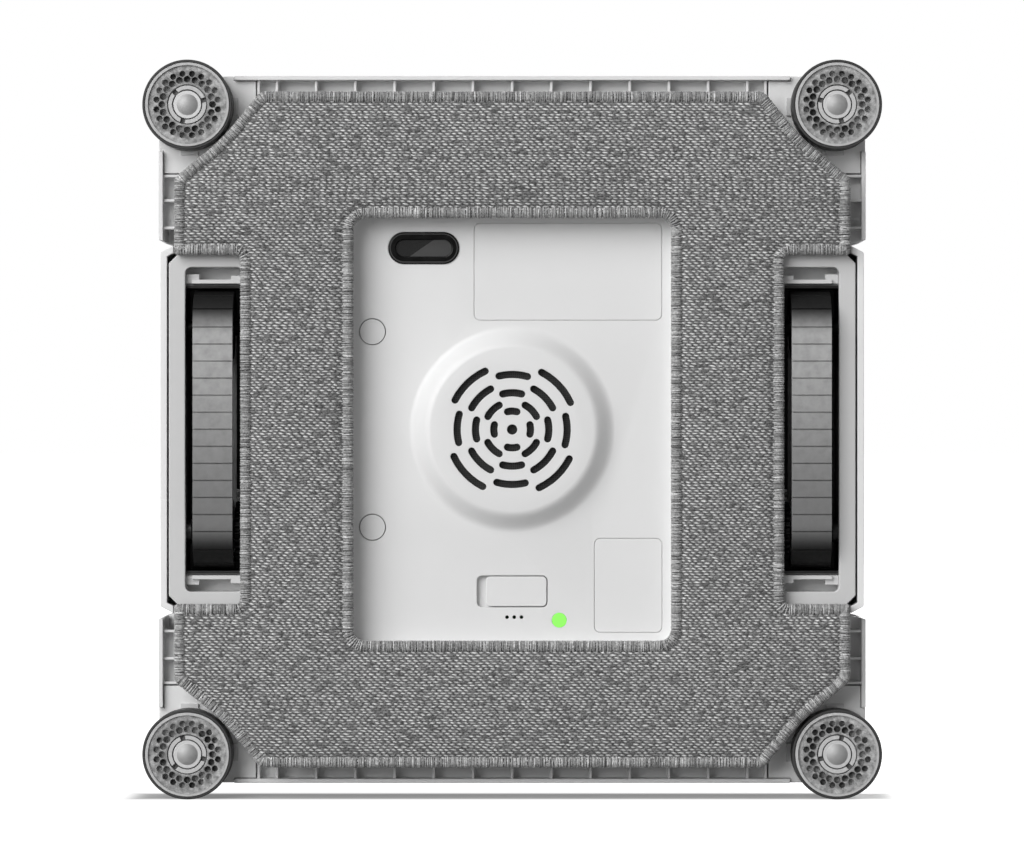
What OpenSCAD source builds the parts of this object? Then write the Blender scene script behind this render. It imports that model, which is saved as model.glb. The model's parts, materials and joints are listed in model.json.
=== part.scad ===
// Window cleaning robot that drives over a pane on two treads and holds on by suction.
// It stands on its lower rollers as it works on a window: x to the right, z up the pane,
// and the glass side faces -y. Inside the modules depth is counted from the glass plane
// and x and z from the middle of the robot; placed() moves that to the part's origin,
// which is the bottom centre of the whole object.

/* [Rollers] */
// Distance of each roller axle from the middle, along x and z
roller_offset = 107.8; // [107.4:0.1:108.4]
// Outer radius of a roller's tyre
roller_r = 14.9; // [14.3:0.1:15.1]
// Thickness of the rubber tyre
tyre_t = 1.0; // [0.8:0.1:1.6]
// Depth of the roller's front face behind the glass plane
roller_y = 2.6; // [2.2:0.1:3.2]
// Thickness of a roller
roller_t = 10.4; // [9.8:0.1:10.4]
// Radius of the roller's axle pin
pin_r = 2.5; // [2:0.1:2.8]
// Number of holes in each of the two rings on a roller's face
roller_holes = 20; // [16:1:20]

/* [Casing] */
// Half the width of the square bumper band
bumper_half = 118.0; // [117.4:0.1:118.4]
// Corner radius of the bumper band and lid
casing_corner_r = 12; // [10:0.5:16]
// Wall thickness of the bumper band
bumper_skin = 1.4; // [1.2:0.1:1.8]
// Inward travel of each bumper
bumper_travel = 0.8; // [0.4:0.1:0.9]
// Half the width across the middle sections beside the treads
side_half = 116.8; // [116.2:0.1:117]
// Half the height of a middle section, up to its notch
side_half_h = 58.8; // [57:0.1:59]
// Wall thickness of the casing
casing_wall = 2.1; // [1.6:0.1:2.4]
// Half the width of the inner casing wall behind the bumpers
inner_half = 95; // [94:0.5:95.5]
// Depth of the bumper's front edge behind the glass plane
rim_y = 12; // [11.6:0.1:12.4]
// Depth where the lid begins
lid_y = 38; // [36:0.5:40]
// Depth of the lid's flat back
lid_back_y = 66; // [64:0.5:70]

/* [Cleaning pad] */
// Half the width of the pad
pad_half = 112.2; // [111:0.1:112.6]
// Thickness of the pad
pad_t = 5; // [4:0.1:5.4]
// Half the width of the pad's window
window_half_w = 52.5; // [51:0.1:53]
// Half the height of the pad's window
window_half_h = 69.9; // [69:0.1:70.5]

/* [Belly] */
// Step from the carrier plate down to the belly floor
belly_drop = 2.5; // [2:0.1:3]
// Thickness of the belly floor
belly_t = 2; // [1.8:0.1:2.4]
// Height of the fan dome above the belly floor
dome_rise = 5; // [4:0.1:5.5]
// Radius of the dome's flat face
dome_face_r = 27; // [26.5:0.1:28]
// Radius of the dome at the belly floor
dome_base_r = 34.5; // [34:0.1:35]
// Radial pitch of the rings of intake slots
slot_pitch = 3.05; // [2.9:0.05:3.15]
// Width of an intake slot
slot_w = 2.4; // [1.8:0.1:2.5]

/* [Treads] */
// Distance of each tread's middle from the robot's middle
tread_x = 99.2; // [98.8:0.1:99.4]
// Width of the belt
belt_w = 13.2; // [12:0.1:13.6]
// Distance from one belt tooth to the next
belt_pitch = 5.64; // [5.5:0.02:5.7]
// Belt thickness outside its pitch line
belt_cover = 1.5; // [1.2:0.1:1.7]
// Radius of the drive axle and the idler pin
axle_r = 2.5; // [2:0.1:3]

/* [Back] */
// Height of the handle's top above the glass plane
handle_y = 107; // [100:0.5:115]
// Width of the handle along z
handle_w = 34; // [30:0.5:40]
// Half the length of the handle's feet
handle_half = 66; // [60:0.5:70]
// Thickness of the handle's bar
handle_t = 12; // [10:0.5:14]
// Radius of the start button
button_r = 11; // [8:0.5:12]
// Travel of the start button
button_travel = 0.8; // [0.4:0.1:1.2]

/* [Hidden] */
$fn = 72;
arc_steps = 6;
cut = 0.4;            // overrun of a cutting shape
seat = 0.05;          // slack between pieces that are fixed together
slide_gap = 0.3;      // gap round a piece that slides or turns
run_gap = 0.06;       // radial clearance of a shaft in its bore

drum_pitches = 12;
straight_pitches = 12;
gear_teeth = 24;
pinion_teeth = 10;
gear_module = 0.75;

// Depths behind the glass plane
hook_t = 0.8;
plate_t = 2.5;
hook_y = pad_t + 0.2 * hook_t;
plate_y = hook_y + hook_t;
plate_back = plate_y + plate_t;
frame_t = 3;
frame_y = plate_back - frame_t;
floor_y = plate_back + belly_drop;
floor_back = floor_y + belly_t;
dome_y = floor_y - dome_rise;
ledge_drop = 6;
ledge_t = 1.6;
ledge_y = rim_y + ledge_drop;
button_proud = 0.6;
total_depth = handle_y + button_proud;
overall = 2 * (roller_offset + roller_r);

// Placing and extruding

module placed() {
    translate([0, -total_depth / 2, overall / 2]) children();
}

// A flat outline in x and z, from depth y0 to depth y1
module slab(y0, y1) {
    translate([0, y1, 0]) rotate([90, 0, 0]) linear_extrude(y1 - y0) children();
}

// A flat outline in y and z, from x0 to x1
module along_x(x0, x1) {
    translate([x0, 0, 0]) rotate([90, 0, 90]) linear_extrude(x1 - x0) children();
}

// A profile of radius and depth, turned about the y axis
module turned() {
    rotate([-90, 0, 0]) rotate_extrude() children();
}

module rod_y(r, y0, y1) {
    translate([0, y0, 0]) rotate([-90, 0, 0]) cylinder(r = r, h = y1 - y0);
}

module rod_x(r, x0, x1) {
    translate([x0, 0, 0]) rotate([0, 90, 0]) cylinder(r = r, h = x1 - x0);
}

module on_side(side) {
    mirror([side < 0 ? 1 : 0, 0, 0]) children();
}

module on_level(level) {
    mirror([0, 0, level < 0 ? 1 : 0]) children();
}

module at(x, z) {
    translate([x, 0, z]) children();
}

// A box from its two corners in x and z, between two depths
module block(x0, x1, y0, y1, z0, z1) {
    translate([x0, y0, z0]) cube([x1 - x0, y1 - y0, z1 - z0]);
}

// Outlines

function unit(v) = v / norm(v);

// The corner b of the path a-b-c, rounded to radius r
function corner_arc(a, b, c, r) =
    let (
        u = unit(a - b),
        v = unit(c - b),
        half = acos(max(-1, min(1, u * v))) / 2,
        centre = b + unit(u + v) * r / sin(half),
        from = b + u * r / tan(half) - centre,
        to = b + v * r / tan(half) - centre,
        start = atan2(from.y, from.x),
        turn = atan2(from.x * to.y - from.y * to.x, from * to)
    )
    [for (k = [0 : arc_steps]) centre + r * [cos(start + turn * k / arc_steps),
                                             sin(start + turn * k / arc_steps)]];

function rounded_loop(points, radii) =
    let (n = len(points))
    [for (i = [0 : n - 1])
        each radii[i] == 0 ? [points[i]]
            : corner_arc(points[(i + n - 1) % n], points[i], points[(i + 1) % n], radii[i])];

// The loop with every edge moved inwards by d; the points run counter-clockwise
function inset_loop(points, d) =
    let (n = len(points))
    [for (i = [0 : n - 1])
        let (
            e1 = unit(points[i] - points[(i + n - 1) % n]),
            e2 = unit(points[(i + 1) % n] - points[i]),
            n1 = [-e1.y, e1.x],
            n2 = [-e2.y, e2.x]
        )
        points[i] + d * (n1 + n2) / (1 + n1 * n2)];

function backwards(list) = [for (i = [len(list) - 1 : -1 : 0]) list[i]];

// A whole loop from its quarter, which runs from the x axis to the z axis
function four_quarters(q) = concat(
    q,
    [for (p = backwards(q)) [-p.x, p.y]],
    [for (p = q) [-p.x, -p.y]],
    [for (p = backwards(q)) [p.x, -p.y]]);

function four_radii(q) = concat(q, backwards(q), q, backwards(q));

module rounded_box(half_w, half_h, r) {
    polygon(rounded_loop(
        [[half_w, half_h], [-half_w, half_h], [-half_w, -half_h], [half_w, -half_h]],
        [r, r, r, r]));
}

// A straight slot with round ends, w long and h high
module stadium(w, h) {
    square([w - h, h], center = true);
    for (s = [-1, 1]) translate([s * (w - h) / 2, 0]) circle(r = h / 2);
}

// Points of an arc from one angle to just before another
function arc_points(centre, r, from, to) =
    [for (k = [0 : arc_steps - 1])
        let (a = from + (to - from) * k / arc_steps) centre + r * [cos(a), sin(a)]];

// An arc-shaped slot of width w about the origin, with round ends
module arc_slot(r, w, middle, span) {
    first = middle - span / 2;
    last = middle + span / 2;
    polygon(concat(
        arc_points([0, 0], r + w / 2, first, last),
        arc_points(r * [cos(last), sin(last)], w / 2, last, last + 180),
        arc_points([0, 0], r - w / 2, last, first),
        arc_points(r * [cos(first), sin(first)], w / 2, first + 180, first + 360)));
}

// Cleaning pad

tread_notch_x = 90.3;
tread_notch_z = 57.7;
pad_corner = 83.5;
pad_dip = 96.4;
pad_dip_r = 60;
pad_edge_r = 4;
pad_notch_r = 1.5;
window_r = 3.7;
pad_round = 1.8;
pad_layers = 3;
pad_quarter = [
    [tread_notch_x, tread_notch_z], [pad_half, tread_notch_z], [pad_half, pad_corner],
    [pad_dip, pad_dip], [pad_corner, pad_half]];
pad_loop = four_quarters(pad_quarter);
pad_radii = four_radii([pad_notch_r, pad_notch_r, pad_edge_r, pad_dip_r, pad_edge_r]);

module pad_ring(inset) {
    difference() {
        polygon(rounded_loop(inset_loop(pad_loop, inset), pad_radii));
        rounded_box(window_half_w + inset, window_half_h + inset, window_r + inset);
    }
}

// The edges that face the glass are rounded in layers
module pad() placed() color("gray") {
    for (k = [0 : pad_layers - 1]) {
        share = 1 - (k + 0.5) / pad_layers;
        slab(k * pad_round / pad_layers, (k + 1) * pad_round / pad_layers)
            pad_ring(pad_round * (1 - sqrt(1 - share * share)));
    }
    slab(pad_round, pad_t) pad_ring(0);
}

// Hook sheet and carrier plate

hook_inset = 3;
plate_inset = 1;
frame_inner_x = 87;
frame_outer_x = 114.1;
frame_half_h = 61;
frame_flank_z = 55.2;
frame_fit = 0.2;
belly_rim = 3;
belly_gap = 0.5;
belly_half_w = window_half_w + belly_gap;
belly_half_h = window_half_h + belly_gap;
belly_r = window_r + belly_gap;
screw_r = 1.5;
screw_head_r = 2.9;
screw_head_t = 1.4;
screw_places = [[82, 82], [-82, 82], [82, -82], [-82, -82], [76, 22], [-76, 22]];
post_r = 3;
board_y = 30;
board_half_w = 65;
board_z = -68;
board_half_h = 20;
board_post_x = 61;
board_post_step = 16;
tray_y = 19;
tray_t = 1;
tray_half_w = 72;
tray_z = 60;
tray_half_h = 20.5;
tray_post_x = 69;
tray_post_step = 15;

module frame_cutouts(gap) {
    for (side = [-1, 1]) mirror([side < 0 ? 1 : 0, 0])
        translate([frame_inner_x - gap, -frame_half_h - gap])
            square([pad_half, 2 * (frame_half_h + gap)]);
}

module hook_sheet() placed() color("dimgray")
    slab(hook_y, plate_y) difference() {
        pad_ring(hook_inset);
        frame_cutouts(hook_inset);
        for (p = screw_places) translate(p) circle(r = screw_head_r + slide_gap);
    }

module board_posts() {
    for (s = [-1, 1], t = [-1, 1]) at(s * board_post_x, board_z + t * board_post_step) children();
}

module tray_posts() {
    for (s = [-1, 1], t = [-1, 1]) at(s * tray_post_x, tray_z + t * tray_post_step) children();
}

module base_plate() placed() color("gainsboro") {
    difference() {
        slab(plate_y, plate_back) difference() {
            polygon(rounded_loop(inset_loop(pad_loop, plate_inset), pad_radii));
            rounded_box(belly_half_w, belly_half_h, belly_r);
            frame_cutouts(frame_fit);
        }
        for (p = screw_places) at(p.x, p.y) {
            rod_y(screw_r + seat, plate_y - cut, plate_back + cut);
            rod_y(screw_head_r + seat, plate_y - cut, plate_y + screw_head_t);
        }
    }
    board_posts() rod_y(post_r, plate_back, board_y);
    tray_posts() rod_y(post_r, plate_back, tray_y);
}

// Belly panel

sensor_x = -29.5;
sensor_z = 60.5;
sensor_w = 23.8;
sensor_h = 10.8;
lens_w = 18.8;
lens_h = 5.8;
bezel_proud = 0.5;
bezel_back_t = 1.0;
lens_drop = 0.4;
plug_x = -46.6;
plug_z = 32.6;
plug_r = 4.5;
plug_stem_r = 3;
plug_t = 1.2;
label_t = 0.3;
label_gap = 0.15;
label_r = 2;
large_label = [18.6, 52.6, 31.2, 16.1];   // centre x, centre z, half width, half height
small_label = [38.7, -52, 11.2, 15.6];
slider_z = -54;
slider_half_w = 11.8;
slider_half_h = 5.3;
slider_pocket_r = 1.8;
slider_pocket_d = 2.2;
slider_t = 1.9;
slider_len = 20.3;
stem_w = 3;
switch_boss_t = 5;
switch_boss_edge = 1.8;
switch_h = 6;
lamp_x = 15.7;
lamp_z = -63.6;
lamp_r = 2.5;
sound_hole_r = 0.6;
sound_hole_x = 0.7;
sound_hole_z = -62.6;
sound_hole_pitch = 2.4;
hub_hole_r = 1.7;
slot_rings = [2, 3, 4, 5, 6, 7];
axis_span = 30;
diagonal_span = 34;
outer_span = 38;
outer_twist = -1.2;
slope_steps = 10;

module intake_slots() {
    circle(r = hub_hole_r);
    for (ring = slot_rings, k = [0 : 3])
        arc_slot(
            ring * slot_pitch, slot_w,
            k * 90 + (ring % 2 == 1 ? 45 : 0) + (ring > 5 ? outer_twist : 0),
            ring == 7 ? outer_span : ring % 2 == 1 ? diagonal_span : axis_span);
}

// A slope from the dome's face down to the floor, level at both ends
function dome_slope(r0, r1, y) =
    [for (k = [0 : slope_steps])
        [r0 + (r1 - r0) * k / slope_steps, y + dome_rise * (1 - cos(180 * k / slope_steps)) / 2]];

module fan_dome() {
    slope_t = belly_t * 1.2;
    turned() polygon(concat(
        [[0, dome_y]], dome_slope(dome_face_r, dome_base_r, dome_y),
        [[dome_base_r + slope_t, floor_y], [dome_base_r + slope_t, floor_back]],
        backwards(dome_slope(dome_face_r - slope_t / 2, dome_base_r - slope_t / 2, dome_y + belly_t)),
        [[0, dome_y + belly_t]]));
}

module label_pocket(label, gap) {
    at(label[0], label[1]) slab(floor_y - gap, floor_y + label_t)
        rounded_box(label[2] + label_gap, label[3] + label_gap, label_r);
}

module belly_panel() placed() color("whitesmoke")
    difference() {
        union() {
            slab(plate_back, floor_back) difference() {
                rounded_box(belly_half_w + belly_rim, belly_half_h + belly_rim, belly_r + belly_rim);
                rounded_box(belly_half_w, belly_half_h, belly_r);
            }
            slab(floor_y, floor_back) difference() {
                rounded_box(belly_half_w + belly_rim, belly_half_h + belly_rim, belly_r + belly_rim);
                circle(r = dome_base_r + belly_t);
            }
            fan_dome();
            at(0, slider_z) slab(floor_y, floor_y + switch_boss_t)
                rounded_box(slider_half_w + switch_boss_edge, slider_half_h + switch_boss_edge,
                            slider_pocket_r);
        }
        slab(dome_y - cut, dome_y + belly_t + cut) intake_slots();
        at(sensor_x, sensor_z) slab(floor_y - cut, floor_back + cut) stadium(sensor_w, sensor_h);
        for (level = [-1, 1]) at(plug_x, level * plug_z) {
            rod_y(plug_r, floor_y - cut, floor_y + plug_t);
            rod_y(plug_stem_r, floor_y - cut, floor_back + cut);
        }
        label_pocket(large_label, cut);
        label_pocket(small_label, cut);
        at(0, slider_z) {
            slab(floor_y - cut, floor_y + slider_pocket_d)
                rounded_box(slider_half_w, slider_half_h, slider_pocket_r);
            slab(floor_y, floor_y + switch_boss_t + cut)
                square([slider_half_w, stem_w + 2 * slide_gap], center = true);
        }
        at(lamp_x, lamp_z) rod_y(lamp_r, floor_y - cut, floor_back + cut);
        for (k = [-1 : 1]) at(sound_hole_x + k * sound_hole_pitch, sound_hole_z)
            rod_y(sound_hole_r, floor_y - cut, floor_back + cut);
    }

filter_t = 0.5;
filter_r = dome_face_r - 2 * belly_t;

module intake_filter() placed() color("dimgray")
    slab(dome_y + belly_t, dome_y + belly_t + filter_t) circle(r = filter_r);

module sensor_bezel() placed() color("black")
    at(sensor_x, sensor_z) difference() {
        slab(floor_y - bezel_proud, floor_back + bezel_back_t)
            stadium(sensor_w - 2 * seat, sensor_h - 2 * seat);
        slab(floor_y - bezel_proud - cut, floor_back) stadium(lens_w, lens_h);
    }

module sensor_lens() placed() color("darkslategray")
    at(sensor_x, sensor_z) slab(floor_y + lens_drop, floor_back)
        stadium(lens_w - 2 * seat, lens_h - 2 * seat);

module screw_plugs() placed() color("whitesmoke")
    for (level = [-1, 1]) at(plug_x, level * plug_z) {
        rod_y(plug_r - label_gap, floor_y, floor_y + plug_t);
        rod_y(plug_stem_r - seat, floor_y + plug_t, floor_back);
    }

module label_plates() placed() color("white")
    for (label = [large_label, small_label]) at(label[0], label[1])
        slab(floor_y, floor_y + label_t) rounded_box(label[2], label[3], label_r);

module status_lamp() placed() color("lime")
    at(lamp_x, lamp_z) rod_y(lamp_r - seat, floor_y, floor_back + bezel_back_t);

// The slider rests at the right end of its pocket and travels left to the other end

module power_slider() placed() color("white")
    at(slider_half_w - slide_gap - slider_len / 2, slider_z) {
        slab(floor_y, floor_y + slider_t)
            rounded_box(slider_len / 2, slider_half_h - slide_gap, slider_pocket_r - slide_gap);
        slab(floor_y + slider_t, floor_y + switch_boss_t - slide_gap)
            square([stem_w, stem_w], center = true);
    }

module switch_module() placed() color("black")
    at(0, slider_z) slab(floor_y + switch_boss_t, floor_y + switch_boss_t + switch_h)
        square([2 * slider_half_w, 2 * slider_half_h], center = true);

// Suction fan

fan_r = 36;
fan_wall = 1.8;
fan_depth = 15;
fan_eye_r = 18;
impeller_r = 26;
impeller_gap = 2.2;
impeller_back_t = 1.2;
impeller_hub_r = 5;
blade_count = 9;
blade_t = 1;
blade_r = 20;
blade_inner_r = 11;
fan_shaft_r = 1.5;
fan_motor_r = 15;
fan_motor_len = 23;
shaft_reach = 12;
vent_w = 12;
vent_count = 6;

module fan_housing() placed() color("dimgray")
    difference() {
        slab(floor_back, floor_back + fan_depth) circle(r = fan_r);
        slab(floor_back + fan_wall, floor_back + fan_depth - fan_wall) circle(r = fan_r - fan_wall);
        rod_y(fan_eye_r, floor_back - cut, floor_back + fan_wall + cut);
        rod_y(impeller_hub_r, floor_back + fan_wall, floor_back + fan_depth + cut);
        for (k = [0 : vent_count - 1]) rotate([0, (k + 0.5) * 360 / vent_count, 0])
            block(0, fan_r + cut, floor_back + 2 * fan_wall, floor_back + fan_depth - 2 * fan_wall,
                  -vent_w / 2, vent_w / 2);
    }

impeller_y = floor_back + fan_wall + impeller_gap;
impeller_back = floor_back + fan_depth - fan_wall - impeller_gap;

module impeller() placed() color("darkgray")
    difference() {
        union() {
            rod_y(impeller_r, impeller_back - impeller_back_t, impeller_back);
            rod_y(impeller_hub_r, impeller_y, impeller_back);
            slab(impeller_y, impeller_back - impeller_back_t) intersection() {
                difference() {
                    circle(r = impeller_r);
                    circle(r = blade_inner_r);
                }
                for (k = [0 : blade_count - 1]) rotate(k * 360 / blade_count)
                    translate([blade_r, 0]) difference() {
                        circle(r = blade_r);
                        circle(r = blade_r - blade_t);
                        translate([-2 * blade_r, -2 * blade_r]) square([4 * blade_r, 2 * blade_r]);
                    }
            }
        }
        rod_y(fan_shaft_r, impeller_y - cut, impeller_back + cut);
    }

module fan_shaft() placed() color("silver")
    rod_y(fan_shaft_r - seat / 2, impeller_y + cut, floor_back + fan_depth + shaft_reach);

module fan_motor() placed() color("slategray")
    difference() {
        rod_y(fan_motor_r, floor_back + fan_depth, floor_back + fan_depth + fan_motor_len);
        rod_y(fan_shaft_r + run_gap, floor_back + fan_depth - cut,
              floor_back + fan_depth + shaft_reach + slide_gap);
    }

// Treads

tread_r = drum_pitches * belt_pitch / (2 * PI);
belt_outer_r = tread_r + belt_cover;
belt_inner_r = tread_r - belt_cover / 4;
belt_groove_w = 0.4;
belt_groove_d = 0.6;
tread_half = straight_pitches * belt_pitch / 2;
tread_y = belt_outer_r;
drum_gap = 0.1;
drum_w = belt_w - 0.8;
drum_rim = 1.6;
drum_hub_r = 4.2;
drum_spokes = 5;
well_x0 = 89.6;
well_x1 = 108.6;
well_wall = 1.2;
belt_end_gap = 0.9;
scraper_room = 6.9;
well_half_h = tread_half + belt_outer_r + belt_end_gap;
well_end_h = well_half_h + scraper_room;
well_pocket_d = 6.5;
well_back = 2 * belt_outer_r + well_wall;
window_corner_r = 2;
boss_r = tread_y - plate_back;
boss_t = 1.8;
gear_w = 1.6;
pinion_rise = 8.5;
gear_r = gear_teeth * gear_module / 2;
pinion_pitch_r = pinion_teeth * gear_module / 2;
pinion_run = sqrt(pow(gear_r + pinion_pitch_r, 2) - pow(pinion_rise, 2));
motor_shaft_r = 1.2;
motor_r = 10.5;
gearhead_r = 11;
gearhead_len = 8.5;
motor_gap = 3;
motor_x0 = belly_half_w + belly_rim + motor_gap;

module track_frame() color("lightgray")
    slab(frame_y, plate_back) difference() {
        polygon([
            [frame_inner_x, -frame_half_h], [frame_outer_x - frame_half_h + frame_flank_z, -frame_half_h],
            [frame_outer_x, -frame_flank_z], [frame_outer_x, frame_flank_z],
            [frame_outer_x - frame_half_h + frame_flank_z, frame_half_h], [frame_inner_x, frame_half_h]]);
        translate([(well_x0 + well_x1) / 2, 0])
            rounded_box((well_x1 - well_x0) / 2, well_end_h, window_corner_r);
    }

module track_frames() placed() for (side = [-1, 1]) on_side(side) track_frame();

module track_well() color("dimgray")
    difference() {
        union() {
            difference() {
                block(well_x0 - well_wall, well_x1 + well_wall, plate_back, plate_back + well_back,
                      -well_end_h - well_wall, well_end_h + well_wall);
                block(well_x0, well_x1, plate_back - cut, well_back - well_wall + belt_cover,
                      -well_half_h, well_half_h);
                for (level = [-1, 1]) on_level(level)
                    block(well_x0, well_x1, plate_back - cut, plate_back + well_pocket_d,
                          well_half_h + well_wall, well_end_h);
                for (level = [-1, 1]) on_level(level)
                    block(well_x0 - 2 * well_wall, well_x1 + 2 * well_wall,
                          plate_back + well_pocket_d + well_wall, plate_back + well_back + cut,
                          well_half_h + well_wall, well_end_h + 2 * well_wall);
                block(well_x0 - 2 * well_wall, well_x1 + 2 * well_wall, well_back + belt_cover,
                      plate_back + well_back + cut, -well_end_h, well_end_h);
            }
            translate([0, tread_y, -tread_half]) rod_x(boss_r, well_x1 - boss_t, well_x1 + well_wall);
        }
        translate([0, tread_y, -tread_half])
            rod_x(axle_r + run_gap, well_x0 - 2 * well_wall, well_x1 + seat);
        translate([0, tread_y, tread_half])
            rod_x(axle_r + seat / 2, well_x0 - 2 * well_wall, well_x1 + 2 * well_wall);
        translate([0, tread_y + pinion_rise, -tread_half + pinion_run])
            rod_x(motor_shaft_r + slide_gap, well_x0 - 2 * well_wall, well_x0 + cut);
    }

module track_wells() placed() for (side = [-1, 1]) on_side(side) track_well();

// The belt's outline in y and z: a band with a thin groove in its outer face at each pitch
module belt_outline() {
    difference() {
        belt_band(belt_outer_r, belt_inner_r);
        belt_places() translate([-belt_groove_w / 2, -cut])
            square([belt_groove_w, belt_groove_d + cut]);
    }
}

module belt_band(outer, inner) {
    translate([tread_y, 0]) difference() {
        union() {
            for (level = [-1, 1]) translate([0, level * tread_half]) circle(r = outer);
            square([2 * outer, 2 * tread_half], center = true);
        }
        for (level = [-1, 1]) translate([0, level * tread_half]) circle(r = inner);
        square([2 * inner, 2 * tread_half], center = true);
    }
}

// Puts a shape at every pitch of the belt, its y axis pointing inwards from the outer face
module belt_places() {
    translate([tread_y, 0]) for (half_turn = [0, 1]) rotate(180 * half_turn) {
        for (k = [0 : straight_pitches - 1])
            translate([-belt_outer_r, k * belt_pitch - tread_half]) rotate(-90) children();
        for (k = [0 : drum_pitches / 2 - 1])
            translate([0, tread_half]) rotate(-k * 360 / drum_pitches)
                translate([-belt_outer_r, 0]) rotate(-90) children();
    }
}

module belt() color("gray")
    along_x(tread_x - belt_w / 2, tread_x + belt_w / 2) belt_outline();

module belt_left() placed() on_side(-1) belt();

module belt_right() placed() on_side(1) belt();

// A drum that the belt runs on, spoked between its hub and its rim
module belt_drum(bore) color("silver")
    along_x(tread_x - drum_w / 2, tread_x + drum_w / 2) difference() {
        circle(r = belt_inner_r - drum_gap);
        circle(r = bore);
        for (k = [0 : drum_spokes - 1]) rotate(k * 360 / drum_spokes)
            translate([(drum_hub_r + belt_inner_r - drum_rim) / 2, 0])
                circle(d = belt_inner_r - drum_rim - drum_hub_r - drum_gap);
    }

module drive_pulley() translate([0, tread_y, -tread_half]) belt_drum(axle_r + seat / 2);

module idler_pulley() translate([0, tread_y, tread_half]) belt_drum(axle_r + run_gap);

module drive_pulley_left() placed() on_side(-1) drive_pulley();

module drive_pulley_right() placed() on_side(1) drive_pulley();

module idler_pulley_left() placed() on_side(-1) idler_pulley();

module idler_pulley_right() placed() on_side(1) idler_pulley();

module idler_axles() placed() color("silver")
    for (side = [-1, 1]) on_side(side) translate([0, tread_y, tread_half])
        rod_x(axle_r, well_x0 - well_wall, well_x1 + well_wall);

// Involute gear outline, thinned by the backlash
pressure_angle = 20;
backlash = 0.12;
flank_steps = 4;

function involute_spread(r, base) =
    let (roll = sqrt(max(0, pow(r / base, 2) - 1))) roll * 180 / PI - atan(roll);

function gear_outline(teeth) =
    let (
        pitch_r = teeth * gear_module / 2,
        base = pitch_r * cos(pressure_angle),
        tip = pitch_r + 0.9 * gear_module,
        root = pitch_r - 1.2 * gear_module,
        half_tooth = 90 / teeth - backlash / pitch_r * 180 / PI + involute_spread(pitch_r, base),
        start = max(base, root)
    )
    [for (k = [0 : teeth - 1])
        let (middle = k * 360 / teeth)
        each concat(
            [root * [cos(middle - half_tooth), sin(middle - half_tooth)]],
            [for (i = [0 : flank_steps])
                let (r = start + (tip - start) * i / flank_steps,
                     a = middle - half_tooth + involute_spread(r, base))
                r * [cos(a), sin(a)]],
            [for (i = [flank_steps : -1 : 0])
                let (r = start + (tip - start) * i / flank_steps,
                     a = middle + half_tooth - involute_spread(r, base))
                r * [cos(a), sin(a)]],
            [root * [cos(middle + half_tooth), sin(middle + half_tooth)]])];

gear_x0 = tread_notch_x + slide_gap;
mesh_angle = atan2(pinion_run, pinion_rise);

// The drive axle carries the tread's gear beside the pulley
module drive_axle() color("silver")
    translate([0, tread_y, -tread_half]) {
        rod_x(axle_r, well_x0 - well_wall, well_x1 - slide_gap);
        along_x(gear_x0, gear_x0 + gear_w) rotate(mesh_angle) polygon(gear_outline(gear_teeth));
    }

module drive_axle_left() placed() on_side(-1) drive_axle();

module drive_axle_right() placed() on_side(1) drive_axle();

module motor_pinion() color("goldenrod")
    translate([0, tread_y + pinion_rise, -tread_half + pinion_run]) {
        rod_x(motor_shaft_r, well_x0 - well_wall - gearhead_len, gear_x0 + gear_w);
        along_x(gear_x0, gear_x0 + gear_w)
            rotate(mesh_angle + 180 + 180 / pinion_teeth) polygon(gear_outline(pinion_teeth));
    }

module motor_pinion_left() placed() on_side(-1) motor_pinion();

module motor_pinion_right() placed() on_side(1) motor_pinion();

module at_motor(side) {
    on_side(side) translate([0, tread_y + pinion_rise, -tread_half + pinion_run]) children();
}

module gearheads() placed() color("silver")
    for (side = [-1, 1]) at_motor(side) difference() {
        rod_x(gearhead_r, well_x0 - well_wall - gearhead_len, well_x0 - well_wall);
        rod_x(motor_shaft_r + run_gap, well_x0 - well_wall - gearhead_len - cut, well_x0);
    }

module drive_motors() placed() color("slategray")
    for (side = [-1, 1]) at_motor(side)
        rod_x(motor_r, motor_x0, well_x0 - well_wall - gearhead_len);

// A wiper bar across each end of each tread's window
scraper_t = 0.19 * scraper_room;
scraper_y = plate_back - scraper_t;
scraper_z = well_half_h + 0.22 * scraper_room;
scraper_foot_t = 1;
scraper_block_w = 4;
scraper_inset = 2.2;

module belt_scrapers() placed() color("whitesmoke")
    for (side = [-1, 1], level = [-1, 1]) on_side(side) on_level(level) {
        block(well_x0 + seat, well_x1 - scraper_inset, scraper_y, scraper_y + scraper_t,
              scraper_z, scraper_z + scraper_t);
        block(well_x0 + scraper_inset, well_x1 - scraper_inset, scraper_y + scraper_t,
              plate_back + well_pocket_d, scraper_z + seat, scraper_z + scraper_foot_t);
        block(well_x1 - 2 * scraper_inset, well_x1 - seat, scraper_y + scraper_t,
              scraper_y + 3 * scraper_t, scraper_z + seat, scraper_z + 2.4 * scraper_t);
        block(well_x0 + seat, well_x0 + scraper_block_w, scraper_y, scraper_y + scraper_t,
              scraper_z + scraper_t, scraper_z + 2 * scraper_t);
    }

// Battery and main board

cell_r = 9.2;
cell_len = 65;
cell_gap = 0.4;
tray_wall = 1.4;
tray_lip = 6;
chip_t = 1.4;
chip_sizes = [[-40, 4, 12, 12], [-16, -4, 9, 9], [8, 5, 16, 8], [34, -3, 7, 12], [-2, -12, 22, 4]];
board_t = 1.6;

module battery_tray() placed() color("black")
    at(0, tray_z) {
        slab(tray_y, tray_y + tray_t) square(2 * [tray_half_w, tray_half_h], center = true);
        for (s = [-1, 1]) slab(tray_y + tray_t, tray_y + tray_lip)
            translate([0, s * (tray_half_h - tray_wall / 2)])
                square([2 * tray_half_w, tray_wall], center = true);
    }

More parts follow.
